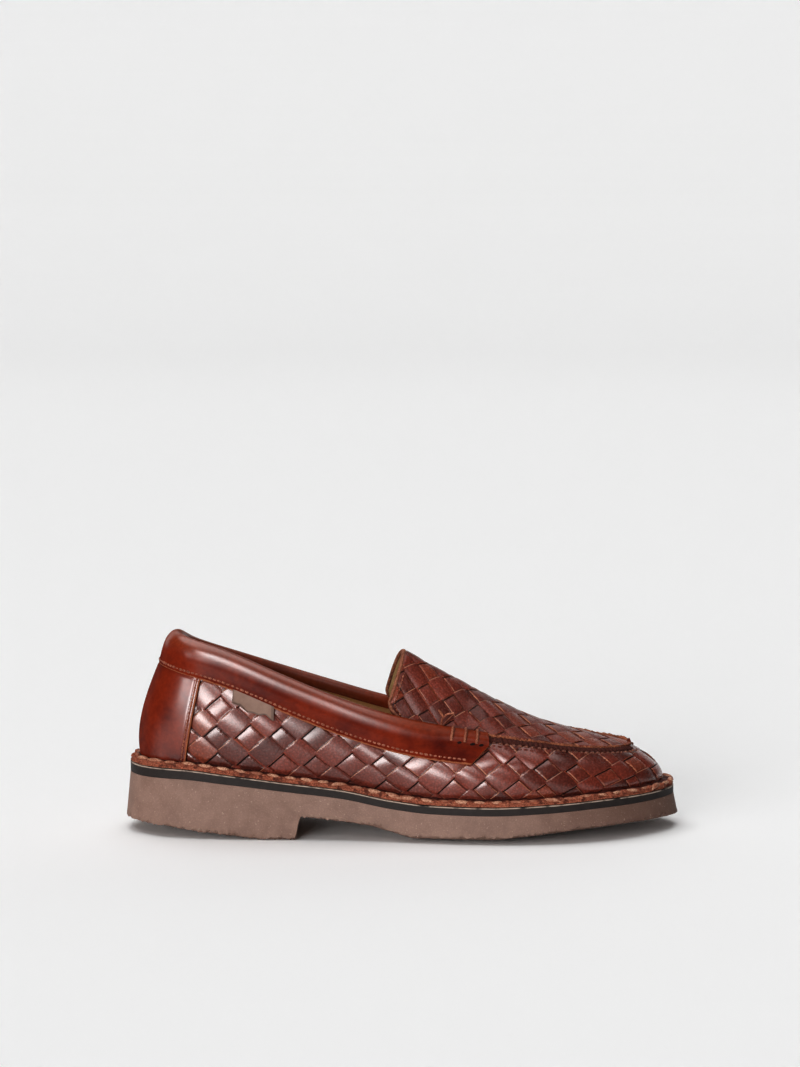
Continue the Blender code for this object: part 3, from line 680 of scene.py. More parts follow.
def strip_line(across, along, width, spread, covered, odd_first):
    """Looks at the nearest line between two strips.

    Gives how far in mm a place lies inside the upper strip's edge, whether the strip before the line is on
    top, and whether the line is open to view.
    """
    line = (across + 0.5).floor()
    parity = (line - 1 + along.floor()).math("FLOORED_MODULO", 2.0)
    first_on_top = parity if odd_first else 1 - parity
    inside = (spread + (across - line) * (1 - 2 * first_on_top)) * width
    share = along.fraction()
    open_line = share.least(1 - share).above(covered * 0.9)
    return inside, first_on_top, open_line


def woven_leather(name, gap_shade_strength, edge_strength, gloss):
    f = Finish(name)
    u, v = f.pattern()
    edge_wobble = (f.cloud(5.0, 2.0) - 0.5) * 0.35
    rising_in, rising_first, rising_open = strip_line(
        u, v, RISING_WIDTH, RISING_SPREAD, FALLING_COVER, False
    )
    falling_in, falling_first, falling_open = strip_line(
        v, u, FALLING_WIDTH, FALLING_SPREAD, RISING_SPREAD, True
    )
    rising_in, falling_in = rising_in + edge_wobble, falling_in + edge_wobble
    rising_over = 1 - (u.floor() + v.floor()).math("FLOORED_MODULO", 2.0)
    diving = falling_in.below(0.0) * (1 - rising_over)
    even = rising_over + diving

    def chance(first, second):
        """A random tone for each pair of numbers."""
        pair = f.node("ShaderNodeCombineXYZ", values={0: first, 1: second, 2: even})
        return f.node("ShaderNodeTexWhiteNoise", values={"Vector": pair})

    strip_tone = chance(u.floor() * even, v.floor() * (1 - even))
    crossing_tone = chance(u.floor(), v.floor())
    tone = strip_tone * 0.45 + crossing_tone * 0.35 + f.cloud(14.0, 2.0) * 0.5 - 0.12
    colour = f.mix(tone.ramp(0.05, 0.75), DARK_STRIP, LIGHT_STRIP)
    colour = f.mix(crossing_tone.ramp(0.78, 1.0) * 0.7, colour, RUBBED_STRIP)
    grain = f.cells(1.25)
    colour = f.shade(colour, grain.ramp(0.0, 0.75, 1.14, 0.74))
    # The cut edges have their real tan colour, and they are also a painted highlight: edges that face away
    # from the light are painted much fainter than those that face it.
    falling_edge_facing_light = 1 - falling_first * 0.35
    cut_rising = rising_in.ramp(0.0, 0.1) * rising_in.ramp(0.22, 0.42, 1.0, 0.0) * rising_open
    forward = f.node("ShaderNodeSeparateXYZ", values={0: f.place()}).ramp(-0.05, 0.06)
    into_strip = falling_in / (0.8 + forward * 1.3)
    cut_falling = into_strip.ramp(0.0, 0.1) * into_strip.ramp(0.2, 0.42, 1.0, 0.0) * falling_open
    worn = f.cloud(9.0, 2.0).ramp(0.30, 0.55)
    cut_falling = cut_falling * falling_edge_facing_light * (0.35 + forward * 0.65)
    cut = (cut_rising * (1 - rising_first * 0.85)).most(cut_falling) * worn * edge_strength
    colour = f.mix(cut, colour, CUT_EDGE)
    # Painted shadow: a dark line along each strip edge where the strip on top shades the one diving under it.
    # It is stronger where that edge faces away from the light.
    rising_gap_shade = rising_in.ramp(-0.95, -0.4) * rising_in.ramp(-0.05, 0.1, 1.0, 0.0) * rising_open
    falling_gap_shade = falling_in.ramp(-0.6, -0.25) * falling_in.ramp(-0.05, 0.1, 1.0, 0.0) * falling_open
    gap_shade = (rising_gap_shade * (0.45 + rising_first * 0.55)).most(falling_gap_shade * 0.55) * gap_shade_strength
    colour = f.shade(colour, 1 - gap_shade * 0.95)
    pebbles = grain * 0.55 + f.cloud(0.45, 2.0) * 0.5 + f.cloud(2.2, 3.0) * 0.5
    f.fix({"Coat Roughness": 0.24, "Coat IOR": 1.6, "Specular IOR Level": 0.12})
    return f.set(
        base_color=colour, normal=f.bump(pebbles, 0.42, 0.8),
        roughness=f.cloud(7.0).ramp(0.3, 0.7, 0.23, 0.33) + gap_shade * 0.4 + cut * 0.3,
        coat_weight=(1 - gap_shade.most(cut)) * (1 - diving * 0.8) * gloss,
    )


wall_leather = woven_leather("woven_leather", 1.0, 0.9, 1.0)
apron_leather = woven_leather("woven_apron_leather", 0.8, 1.15, 0.2)
print("made", wall_leather.name, "and", apron_leather.name)

# %% [markdown]
# ## The woven wall
# The wall runs from one front edge of the heel counter round the toe to the other, and from the sole up under
# the collar. It is one sheet with about two vertices per millimetre, raised by the height of the weave.

# %% Woven wall
COLLAR_DEPTH = 16.5
COLLAR_END_X = 186.5
COLLAR_END_CUT, COLLAR_END_CUT_FROM = 10.5, 6.0
UNDER_COLLAR = 12.0
COUNTER_FRONT_X, COUNTER_SLANT = 32.2, 6.5
SHEET_CLEAR = 0.05
collar_outer = last.station_at(last.top, COLLAR_END_X, False)
collar_inner = last.station_at(last.top, COLLAR_END_X, True)


def counter_front(share):
    """Stations of the heel counter's two front edges, at a share of its height."""
    x = COUNTER_FRONT_X + COUNTER_SLANT * share
    return last.station_at(last.foot, x, False), last.station_at(last.foot, x, True)


def hidden_by_collar(station):
    """How far below the rim the wall may stop, because the collar band covers it."""
    station = station % last.round
    inside = np.maximum(collar_outer - station, station - collar_inner)
    return UNDER_COLLAR * eased((inside - 10.0) / 6.0)


def wall_place(along, up):
    start, end = counter_front(0.0)[0] - 4.0, counter_front(0.0)[1] + 4.0
    station = start + (end - start) * along
    rise = up * (last.wall_height(station) - hidden_by_collar(station))
    rising, falling = wall_weave(station, rise)
    foot = eased(rise / 2.5)
    out = SHEET_CLEAR + STRIP_ARCH * weave_height(rising, falling) * foot
    return last.offset(station, rise, out), np.column_stack([rising, falling])


woven_wall = carried_sheet("woven_wall", 1000, 74, wall_place)
finish_piece(woven_wall, wall_leather, 70.0, ["upper"])

# %% [markdown]
# ## The apron and its tongue
# The top of the shoe is a second woven piece. Its front lies in a raised seam round the toe, and its back
# stands up as the tongue. It is drafted about its middle line, with strips at half a right angle to it.

# %% Shape of the apron
RIDGE_LIP, RIDGE_RISE, THROAT_INSET = 1.6, 0.8, 5.8
THROAT_X, RIDGE_FROM_X = 176.0, 187.0
TONGUE_BACK_X, TONGUE_CORNER, TONGUE_CORNER_X = 144.5, 0.84, 147.0
ridge_outline = Outline(last.top + outward(last.top) * RIDGE_LIP)
throat_outline = Outline(last.top - outward(last.top) * THROAT_INSET)
top_toe = int(np.argmax(last.top[:, 0]))
apron_end = ridge_outline.end - 0.02


def apron_sides(x):
    share = eased((x - THROAT_X) / (RIDGE_FROM_X - THROAT_X))
    wide, narrow = ridge_outline.sides(x), throat_outline.sides(np.minimum(x, RIDGE_FROM_X))
    outer, inner = (n + (w - n) * share for w, n in zip(wide, narrow))
    edge = np.interp(x, last.top[: top_toe + 1, 0], last.top[: top_toe + 1, 2])
    return outer, inner, edge + RIDGE_RISE * share


def apron_surface(x, across):
    """across runs from -1 on the outer edge to 1 on the inner edge."""
    outer, inner, edge = apron_sides(x)
    rise = np.maximum(0, apron_crown(x) - edge) * np.maximum(0, 1 - across * across) ** 1.3
    return np.stack([x, (outer + inner) / 2 + across * (inner - outer) / 2, edge + rise], axis=-1)


def apron_normal(x, across):
    step, turn = 0.4, 0.02
    x = np.minimum(x, apron_end - 2 * step)
    across = np.clip(across, turn - 1, 1 - turn)
    along = apron_surface(x + step, across) - apron_surface(x - step, across)
    over = apron_surface(x, across + turn) - apron_surface(x, across - turn)
    facing = np.cross(along, over)
    return facing / np.linalg.norm(facing, axis=-1, keepdims=True)


def tongue_back(across):
    """x of the tongue's free edge, a hollow cut with rounded corners."""
    share = np.abs(across)
    sweep = np.where(across > 0, 9.0, 7.5)
    bend = np.where(across > 0, 1.3, 2.0)
    hollow = TONGUE_BACK_X - sweep * (np.minimum(share, TONGUE_CORNER) / TONGUE_CORNER) ** bend
    turn = np.clip((share - TONGUE_CORNER) / (1 - TONGUE_CORNER), 0, 1)
    corner = TONGUE_BACK_X - sweep
    rounded = corner + (TONGUE_CORNER_X - corner) * (1 - np.sqrt(1 - turn * turn))
    return np.where(share <= TONGUE_CORNER, hollow, rounded)


middle_x = np.linspace(130, 262, 265)
crown_line = np.column_stack([middle_x, apron_crown(middle_x)])
crown_run = np.concatenate([[0], np.cumsum(np.hypot(*np.diff(crown_line, axis=0).T))])
print("tongue to toe along the crown, in mm:", round(float(np.interp(261, middle_x, crown_run)), 1))

# %% Apron and tongue
APRON_PITCH, APRON_THICKNESS = 14.8, 2.2


def apron_flat(x, across):
    """Flat distance from the middle line, measured along the surface."""
    steps = 16
    line = np.stack([apron_surface(x, across * i / steps) for i in range(steps + 1)])
    return np.linalg.norm(np.diff(line, axis=0), axis=2).sum(axis=0) * np.sign(across)


def apron_weave(x, across):
    run, flat = np.interp(x, middle_x, crown_run), apron_flat(x, across)
    return (run - flat) / APRON_PITCH, (run + flat) / APRON_PITCH


def apron_place(along, up):
    across = -np.cos(np.pi * (0.06 + 0.88 * up)) / math.cos(0.06 * math.pi)
    across = np.where(up < 1e-6, -1.0, np.where(up > 1 - 1e-6, 1.0, across))
    back = tongue_back(across)
    front_share = np.sin(np.pi / 2 * along)
    x = back + (apron_end - back) * front_share
    rising, falling = apron_weave(x, across)
    edge = np.minimum(1 - np.abs(across), (x - back) / 25.0)
    out = SHEET_CLEAR + STRIP_ARCH * weave_height(rising, falling) * eased(edge / 0.05)
    points = apron_surface(x, across) + apron_normal(x, across) * out[:, None]
    return points, np.column_stack([rising, falling])


woven_apron = carried_sheet("woven_apron", 300, 160, apron_place)
thicken(woven_apron, APRON_THICKNESS)
finish_piece(woven_apron, apron_leather, 60.0)

# %% [markdown]
# ## Polished leather
# The collar and the heel counter are smooth leather, burnished by hand: orange-brown where the wax was rubbed
# through, red-brown elsewhere, and glossy enough to mirror the soft boxes as long streaks. The collar's
# shaded inner face is painted orange-brown as well, painted light that makes up for its shade. Their cut
# edges are left raw and show the orange core.

# %% Polished leather finish
DARK_POLISH, RED_POLISH = (0.088, 0.0090, 0.0042), (0.200, 0.0260, 0.0085)
RUBBED_ORANGE_AND_PAINTED_LIGHT = (0.270, 0.0520, 0.0150)
DARK_CORE, LIGHT_CORE = (0.17, 0.036, 0.014), (0.48, 0.20, 0.105)


def polished_leather(name, raw_width, near_gloss, far_gloss, rubbed_and_painted_light):
    """The pattern gives the station and the distance in mm from the raw edge."""
    f = Finish(name)
    station, from_edge = f.pattern()
    burnish = f.cloud(26.0, 3.0) * 0.75 + f.cloud(7.0, 3.0) * 0.35
    colour = f.mix(burnish.ramp(0.36, 0.72), DARK_POLISH, RED_POLISH)
    # Orange-brown high on the outer face, where the wax was rubbed through, and over the whole inner face
    # (from_edge is large there). On the inner face this is painted light that makes up for the shade inside
    # the collar.
    colour = f.mix(from_edge.ramp(9.0, 18.0) * rubbed_and_painted_light, colour, RUBBED_ORANGE_AND_PAINTED_LIGHT)
    colour = f.shade(colour, f.cloud(2.0, 4.0).ramp(0.25, 0.75, 0.86, 1.12))
    raw = (from_edge + (f.cloud(2.5, 3.0) - 0.5) * 1.6).ramp(raw_width * 0.6, raw_width * 1.2, 1.0, 0.0)
    fibre = f.cloud(0.7, 3.0)
    colour = f.mix(raw, colour, f.mix(fibre, DARK_CORE, LIGHT_CORE))
    creases = f.cloud(3.2, 4.0, 0.6) * 0.6 + f.cells(1.1) * 0.18 + fibre * raw * 2.0
    facing = f.node("ShaderNodeLayerWeight", values={"Blend": 0.5}, output="Facing")
    glancing = facing.ramp(0.55, 0.95, 1.0, 0.0)
    polish = from_edge.ramp(8.5, 13.0, near_gloss, 1.0) * from_edge.ramp(12.0, 22.0, 1.0, far_gloss)
    polish = polish * station.size().ramp(112.0, 162.0, 1.0, 0.12)
    roughness = f.cloud(9.0).ramp(0.3, 0.7, 0.26, 0.36) + raw * 0.4 + (1 - glancing) * 0.3
    f.fix({"Coat Roughness": 0.27, "Coat IOR": 1.75, "Specular IOR Level": 0.02})
    return f.set(
        base_color=colour, normal=f.bump(creases, 0.10, 0.32), coat_weight=(1 - raw) * glancing * polish,
        roughness=roughness + (1 - polish) * 0.3,
    )


collar_leather = polished_leather("collar_leather", 1.0, 0.05, 1.0, 0.6)
counter_leather = polished_leather("counter_leather", 0.8, 1.0, 0.1, 0.0)
print("made", collar_leather.name, "and", counter_leather.name)

# %% [markdown]
# ## The collar
# The collar is a padded band folded over the rim. Seen in section it is a roll on top of a flat skirt, and it
# runs on inside as a lining strip. A smooth curve through a few points of that section is carried round the
# rim, and at the two front ends the skirt is cut back at a slant below the roll.

# %% Collar
COLLAR_SECTION = [
    (1.2, -16.4), (1.7, -16.7), (2.2, -16.3), (2.85, -13.2), (3.25, -10.2), (3.45, -7.2), (3.42, -4.8),
    (3.12, -2.6), (2.5, -0.8), (1.6, 0.8), (0.5, 1.9), (-1.2, 2.5), (-3.3, 1.7), (-4.4, 0.0), (-4.7, -1.6),
    (-4.6, -3.2), (-4.2, -3.8), (-3.75, -3.4), (-3.65, -1.8), (-3.6, 0.1), (0.0, 0.35),
    (1.2, 0.2), (1.22, -8.0),
]


def smooth_loop(points, count):
    """Evenly spread places on a closed smooth curve through some points, and their run along it."""
    points = np.array(points, float)
    around = np.vstack([points, points[:1]])
    knots = np.concatenate([[0], np.cumsum(np.hypot(*np.diff(around, axis=0).T))])
    dense = closed_spline(knots, points, np.linspace(0, knots[-1], 2001)[:-1])
    dense = np.vstack([dense, dense[:1]])
    run = np.concatenate([[0], np.cumsum(np.hypot(*np.diff(dense, axis=0).T))])
    at = np.linspace(0, run[-1], count + 1)
    return np.column_stack([np.interp(at, run, part) for part in dense.T]), at


COLLAR_ROWS, FAR_FROM_EDGE = 84, 40
collar_section, collar_run = smooth_loop(COLLAR_SECTION, COLLAR_ROWS)
skirt_tip = COLLAR_SECTION[1]
skirt_edge = collar_run[int(np.argmin(np.hypot(*(collar_section - skirt_tip).T)))]


def collar_place(along, up):
    """Near its front ends the roll stands out as a tube over a crease."""
    row = np.rint(up * COLLAR_ROWS).astype(int)
    out, rise = collar_section[row].T
    start, end = collar_inner - last.round, collar_outer
    below = np.where(out > 0, np.maximum(0, -rise - COLLAR_END_CUT_FROM), 0)
    cut = COLLAR_END_CUT * below / (COLLAR_DEPTH - COLLAR_END_CUT_FROM)
    station = start + cut + (end - start - 2 * cut) * along
    to_end = np.minimum(station - start, end - station)
    tube = 1 - eased((to_end - 12.0) / 20.0)
    crease = np.exp(-((rise + 6.6) / 1.5) ** 2) * (out > 1.5)
    out = out - crease * 0.75 * tube + np.exp(-((rise + 2.6) / 2.2) ** 2) * (out > 1.0) * 0.45 * tube
    soft = 0.10 * np.sin(station / 17.0) + 0.05 * np.sin(station / 8.3 + rise / 5.0)
    out = out + np.where(out > 1.5, soft, 0) * eased((rise + 16) / 6)
    points = last.offset(station, last.wall_height(station) + rise, out)
    from_edge = np.abs(collar_run[row] - skirt_edge) + np.where(out < 1.3, FAR_FROM_EDGE, 0)
    return points, np.column_stack([station, from_edge])


collar = carried_sheet("collar", 420, COLLAR_ROWS, collar_place)
join_seams(collar)
close_ends(collar)
finish_piece(collar, collar_leather, 50.0, ["collar_band"])

# %% [markdown]
# ## The heel counter and the tag
# The counter is a smooth panel that wraps the heel below the collar. The tag is a small blank strip of pale
# leather that hangs out of the collar seam. Both are sheets on the wall that get their thickness at the end.

# %% Heel counter
OVERLAY_CLEAR = 1.2
COUNTER_FOOT_RISE, COUNTER_THICKNESS = 1.0, 1.25


def counter_place(along, up):
    share = np.linspace(0, 1, 41)
    fronts = np.array([counter_front(s) for s in share])
    outer, inner = (np.interp(up, share, front) for front in fronts.T)
    start = inner - last.round
    station = start + (outer - start) * along
    top = last.wall_height(station) - COLLAR_DEPTH + 2.5
    rise = COUNTER_FOOT_RISE + (top - COUNTER_FOOT_RISE) * up
    to_front = np.minimum(station - start, outer - station)
    rounded_edge = 0.5 * np.exp(-to_front / 0.5)
    stitch_groove = 0.28 * np.exp(-(((to_front - 2.2) / 0.7) ** 2))
    under_collar = 0.9 * eased((rise - top + 4.0) / 4.0)
    out = OVERLAY_CLEAR + COUNTER_THICKNESS - rounded_edge - stitch_groove - under_collar
    return last.offset(station, rise, out), np.column_stack([station, to_front])


counter = carried_sheet("counter", 240, 90, counter_place)
thicken(counter, COUNTER_THICKNESS - SHEET_CLEAR)
finish_piece(counter, counter_leather, 50.0, ["heel_counter"])

# %% Blank tag
TAG_FROM_X, TAG_TO_X = 56.0, 77.0
TAG_DROP, TAG_OUT, TAG_THICKNESS = 7.4, 0.95, 1.4


def tag_leather():
    f = Finish("tag_leather")
    along, up = f.pattern()
    colour = f.mix(f.cloud(3.0, 4.0), (0.215, 0.132, 0.102), (0.335, 0.225, 0.180))
    border = along.least(TAG_TO_X - TAG_FROM_X - along).least(up).ramp(0.3, 0.9, 1.0, 0.0)
    colour = f.shade(colour, 1 - border * 0.35)
    return f.set(base_color=colour, roughness=0.62, normal=f.bump(f.cloud(0.6, 3.0), 0.15, 0.6))


tag_start, tag_end = (last.station_at(last.foot, x, False) for x in (TAG_FROM_X, TAG_TO_X))


def tag_place(along, up):
    station = tag_start + (tag_end - tag_start) * along
    top = last.wall_height(station) - COLLAR_DEPTH + 1.0
    drop = TAG_DROP - 0.9 * np.cos(2.6 * np.pi * along - 0.5) + 0.35 * np.sin(7.0 * np.pi * along)
    rise = top - drop * (1 - up)
    curl = 0.3 + 1.5 * (1 - up) ** 2 * (0.6 + 0.4 * np.cos(5.0 * along))
    pattern = np.column_stack([along * (tag_end - tag_start), drop * up])
    return last.offset(station, rise, OVERLAY_CLEAR + TAG_OUT + curl), pattern


tag = carried_sheet("tag", 60, 26, tag_place)
thicken(tag, TAG_THICKNESS)
finish_piece(tag, tag_leather(), 50.0, ["quarter_tag"])

# %% [markdown]
# ## The sole
# The sole has three layers: a leather insole inside, a dark runner, and crepe rubber. Each is a closed tube
# of sections from heel to toe, flattened at the two ends. Crepe tears when it is cut, so its lower edge
# is ragged: noise bites into it from below.

# %% Layers of the sole
def section_rows(top, side, bottom):
    """Walks once round a section: across from the outer side (0) to the inner (1), height from 0 to 1."""
    rows = [(1 - i / top, 1.0) for i in range(top)]
    rows += [(0.0, 1 - i / side) for i in range(side)]
    rows += [(i / bottom, 0.0) for i in range(bottom)]
    rows += [(1.0, i / side) for i in range(side + 1)]
    return np.array(rows)


def sole_piece(name, columns, rows, low, high, shape=None):
    """A layer between two plan surfaces, low and high, which give points for share and across."""

    def place(along, up):
        row = np.rint(up * (len(rows) - 1)).astype(int)
        across, height = rows[row].T
        share = (1 - np.cos(np.pi * along)) / 2
        bottom, top = low(share, across), high(share, across)
        points = bottom + (top - bottom) * height[:, None]
        if shape is not None:
            points = shape(points, across, height)
        return points, np.column_stack([height, np.linalg.norm(top - bottom, axis=1) * (1 - height)])

    piece = carried_sheet(name, columns, len(rows) - 1, place)
    join_seams(piece)
    face_out(piece)
    return piece


def plan(outline, height):
    """A surface over a plan outline, at a height for each x."""

    def point(share, across):
        x, y = outline.point(share, across)
        return np.stack([x, y, height(x)], axis=-1)

    return point


BREAST_BACK_X, BREAST_FRONT_X = 88.3, 90.6
CREPE_GAP, CREPE_SIDE, RUNNER_LAP = 0.12, 17.0, 0.15
INSOLE_FOOT, INSOLE_TOP = 0.3, 2.9


def tread_point(share, across):
    """The underside: the heel up to its breast, then the arch and the forefoot, with lifted sides."""
    x, y = tread_outline.point(share, across)
    outer, inner = tread_outline.sides(x)
    from_edge = np.maximum(0, (np.abs(2 * across - 1) - 0.45) / 0.55)
    ramp = eased((x - 100) / 50)
    lift = 2.8 * ramp * np.minimum(1, (inner - outer) / 96.0) * from_edge**2
    breast = np.clip((x - BREAST_BACK_X) / (BREAST_FRONT_X - BREAST_BACK_X), 0, 1)
    heel = heel_bottom(np.minimum(x, BREAST_BACK_X))
    fore = fore_bottom(np.maximum(x, BREAST_FRONT_X)) + lift
    return np.stack([x, y, heel * (1 - breast) + fore * breast], axis=-1)


def ragged(points, across, height):
    """Bites into the lower edge of the crepe, and crinkles its underside."""
    side = (across < 1e-6) | (across > 1 - 1e-6)
    outer, inner = tread_outline.sides(points[:, 0])
    from_edge = np.where(side, height * CREPE_SIDE, np.minimum(across, 1 - across) * (inner - outer))
    near = np.exp(-from_edge / 1.2)
    bite = np.abs(rough(points, 1.9, 3.0)) * 3.0 + np.abs(rough(points, 5.0, 9.0)) * 2.4
    moved = points.copy()
    moved[:, 2] += near * bite * (height < 0.6)
    under = ~side & (height < 0.5)
    moved[:, 2] += np.where(under, 0.35 * np.abs(rough(points, 3.4, 5.0)), 0) * (1 - near)
    pull = near * rough(points, 1.9, 21.0) * 1.6
    moved[:, 1] += np.where(points[:, 1] < 0, 1, -1) * np.maximum(pull, -0.1)
    return moved


def crepe_rubber():
    f = Finish("crepe_rubber")
    forward = f.node("ShaderNodeSeparateXYZ", values={0: f.place()})
    speckle = f.cells(0.9)
    cloud = f.cloud(9.0, 4.0)
    colour = f.mix(cloud.ramp(0.3, 0.7), (0.248, 0.157, 0.124), (0.306, 0.202, 0.163))
    colour = f.mix(forward.ramp(0.02, 0.13) * 0.62, colour, (0.150, 0.085, 0.065))
    colour = f.shade(colour, speckle.ramp(0.05, 0.6, 1.05, 0.93))
    colour = f.mix(f.cloud(1.3, 2.0).ramp(0.64, 0.74) * 0.45, colour, (0.48, 0.36, 0.30))
    scraped = f.cloud(0.8, 4.0, 0.6, (0.25, 1.0, 1.6))
    height = scraped * 0.7 + speckle * 0.5 + f.cloud(3.0, 4.0) * 0.5
    roughness = cloud.ramp(0.3, 0.7, 0.55, 0.72)
    return f.set(base_color=colour, roughness=roughness, normal=f.bump(height, 0.22, 0.55))


crepe = sole_piece(
    "crepe_sole", 560, section_rows(4, 22, 48), tread_point,
    plan(welt_outline, lambda x: sole_top(x) - midsole_thickness(x) - CREPE_GAP), ragged,
)
finish_piece(crepe, crepe_rubber(), 55.0, ["outsole"])

# %% Dark runner
def runner_rubber():
    f = Finish("runner_rubber")
    _, down = f.pattern()
    colour = f.mix(f.cloud(4.0, 4.0), (0.022, 0.017, 0.016), (0.044, 0.034, 0.031))
    pale = down.ramp(0.35, 0.75, 1.0, 0.0) * f.cloud(6.0).ramp(0.3, 0.55)
    colour = f.mix(pale, colour, (0.44, 0.35, 0.29))
    scraped = f.cloud(0.9, 4.0, 0.6, (0.2, 1.0, 1.5))
    return f.set(base_color=colour, roughness=0.58, normal=f.bump(scraped, 0.2, 0.5))


def runner_edge(points, across, height):
    """Roughens the runner's upper edge a little."""
    moved = points.copy()
    moved[:, 2] -= 0.12 * np.abs(rough(points, 4.0, 2.0)) * (height > 0.9)
    return moved


runner = sole_piece(
    "runner", 320, section_rows(4, 8, 4), plan(welt_outline, lambda x: sole_top(x) - midsole_thickness(x)),
    plan(welt_outline, lambda x: sole_top(x) + RUNNER_LAP), runner_edge,
)
finish_piece(runner, runner_rubber(), 50.0, ["midsole"])

# %% Insole
def insole_leather():
    f = Finish("insole_leather")
    colour = f.mix(f.cloud(18.0, 4.0), (0.20, 0.115, 0.055), (0.33, 0.20, 0.105))
    return f.set(base_color=colour, roughness=0.6, normal=f.bump(f.cells(0.9), 0.08, 0.5))


insole = sole_piece(
    "insole_board", 160, section_rows(24, 4, 6),
    plan(insole_outline, lambda x: sole_top(x) + INSOLE_FOOT),
    plan(insole_outline, lambda x: sole_top(x) + INSOLE_TOP),
)
finish_piece(insole, insole_leather(), 50.0, ["insole"])

# %% [markdown]
# ## The stitched-down edge
# The upper's lower edge is turned out and sewn down on the runner. Its cut side shows raw orange fibre in
# layers, and the stitches pull its top into scallops. It is a closed ring of sections round the whole shoe.

# %% Turned-out edge
WELT_PITCH = 8.8
welt_count = round(last.round / WELT_PITCH)
EDGE_ROWS = 40
EDGE_SECTION = [
    (-2.0, 3.7), (0.0, 3.85), (0.35, 3.35), (0.7, 3.2), (0.92, 3.0), (1.0, 2.2), (1.0, 1.2), (0.96, 0.45),
    (0.5, 0.3), (-1.0, 0.3), (-2.0, 0.5), (-2.2, 2.0),
]
edge_section, _ = smooth_loop(EDGE_SECTION, EDGE_ROWS)
SKIN_SIDE = 9.0


def edge_place(along, up):
    """The section's first number is a share of the flange's width outside the wall, or mm inside it."""
    row = np.rint(up * EDGE_ROWS).astype(int)
    share, z = edge_section[row].T
    station = last.round * along
    welt = last.read(last.welt, station)[:, 0]
    out = np.where(share > 0, share * welt, share)
    points = last.read(last.foot, station) + last.read(last.out, station) * out[:, None]
    scallop = np.cos(2 * np.pi * along * welt_count)
    top = eased((z - 1.6) / 1.4)
    fray = rough(points, 1.4, 4.0) * 0.34 + rough(points, 4.5, 8.0) * 0.55 + rough(points, 11.0, 5.0) * 0.5
    raw = eased((share - 0.55) / 0.3) * (z > 0.5)
    points[:, 2] = sole_top(points[:, 0]) + z + top * (0.38 * scallop * (share > -0.5) + fray * 0.7)
    points += last.read(last.out, station) * (raw * (fray * 0.9 - 0.35 + 0.25 * scallop))[:, None]
    return points, np.column_stack([station, np.where(raw > 0, z, SKIN_SIDE)])


def raw_edge():
    f = Finish("raw_edge")
    _, z = f.pattern()
    fibre = f.cloud(0.7, 4.0, 0.65)
    layers = f.cloud(1.1, 3.0, 0.6, (0.16, 0.16, 2.2))
    colour = f.mix(fibre.ramp(0.3, 0.7), (0.13, 0.030, 0.017), (0.46, 0.165, 0.095))
    colour = f.mix(layers.ramp(0.55, 0.75) * 0.5, colour, (0.62, 0.33, 0.21))
    colour = f.mix(f.cloud(3.0, 3.0).ramp(0.48, 0.64) * 0.75, colour, (0.062, 0.012, 0.008))
    skin = z.ramp(3.3, 5.0)
    colour = f.mix(skin, colour, (0.060, 0.011, 0.007))
    return f.set(
        base_color=colour, roughness=0.78 - skin * 0.3, normal=f.bump(fibre * 0.8 + layers, 0.4, 0.8),
    )


turned_edge = carried_sheet("turned_edge", 1040, EDGE_ROWS, edge_place)
join_seams(turned_edge)
face_out(turned_edge)
finish_piece(turned_edge, raw_edge(), 60.0)

# %% [markdown]
# ## The lining
# Inside, a thin tan leather lining covers the back of the weave, from the insole up to the collar, and the
# underside of the apron and tongue.

# %% Lining
def lining_leather():
    f = Finish("lining_leather")
    # The lining's tan is its real colour, painted much lighter as painted light that makes up for the shade
    # inside the shoe.
    colour = f.mix(f.cloud(11.0, 4.0), (0.64, 0.36, 0.16), (0.85, 0.54, 0.27))
    return f.set(base_color=colour, roughness=0.8, normal=f.bump(f.cloud(0.5, 3.0), 0.12, 0.6))


LINING_DEPTH, LINING_FOOT, LINING_THICKNESS = 2.5, -1.0, 0.6


def lining_place(along, up):
    station = last.round * along
    in_collar = eased((hidden_by_collar(station) - 0.5) / 11.0)
    top = last.wall_height(station) - 2.0 - 1.5 * in_collar
    rise = LINING_FOOT + (top - LINING_FOOT) * up
    points = last.offset(station, rise, np.full(rise.shape, -LINING_DEPTH))
    points[:, 2] -= np.where(rise < 0, -rise, 0) * 0.8
    return points, np.column_stack([station, rise])


lining = carried_sheet("lining", 300, 24, lining_place)
join_seams(lining)
thicken(lining, LINING_THICKNESS)
finish_piece(lining, lining_leather(), 60.0)

# %% [markdown]
# ## Raw edges of the apron
# Where the apron meets the wall, both cut edges stand up side by side and are sewn through: a raised seam
# with a fuzzy orange lip over a dark gathered band. The tongue's free edge is cut raw as well. Each edge is
# a small closed section that runs along the cut, roughened by noise.

# %% Edge strips
STRIP_ROWS = 18


def unit(vectors):
    return vectors / np.linalg.norm(vectors, axis=1, keepdims=True)


def edge_strip(name, columns, section, path, material, fuzz, gathers=0):
    """Carries a closed section along a path. path gives points, sideways and upward directions."""
    places, _ = smooth_loop(section, STRIP_ROWS)

    def place(along, up):
        row = np.rint(up * STRIP_ROWS).astype(int)
        points, side, upward = path(along)
        points = points + side * places[row, :1] + upward * places[row, 1:]
        frayed = rough(points, 1.3, 7.0) * fuzz + rough(points, 5.0, 2.0) * fuzz * 0.8
        points = points + upward * frayed[:, None] * 0.8 + side * frayed[:, None] * 0.5
        if gathers:
            toe = eased(np.abs(along - 0.5) / 0.06)
            fold = np.cos(2 * np.pi * along * gathers) * (0.16 + 0.3 * rough(points, 6.0, 13.0))
            points = points + side * (fold * toe - 1.3 * (1 - toe))[:, None]
        return points, np.column_stack([along * 100, places[row, 1]])

    piece = carried_sheet(name, columns, STRIP_ROWS, place)
    join_seams(piece)
    close_ends(piece)
    return finish_piece(piece, material, 60.0)


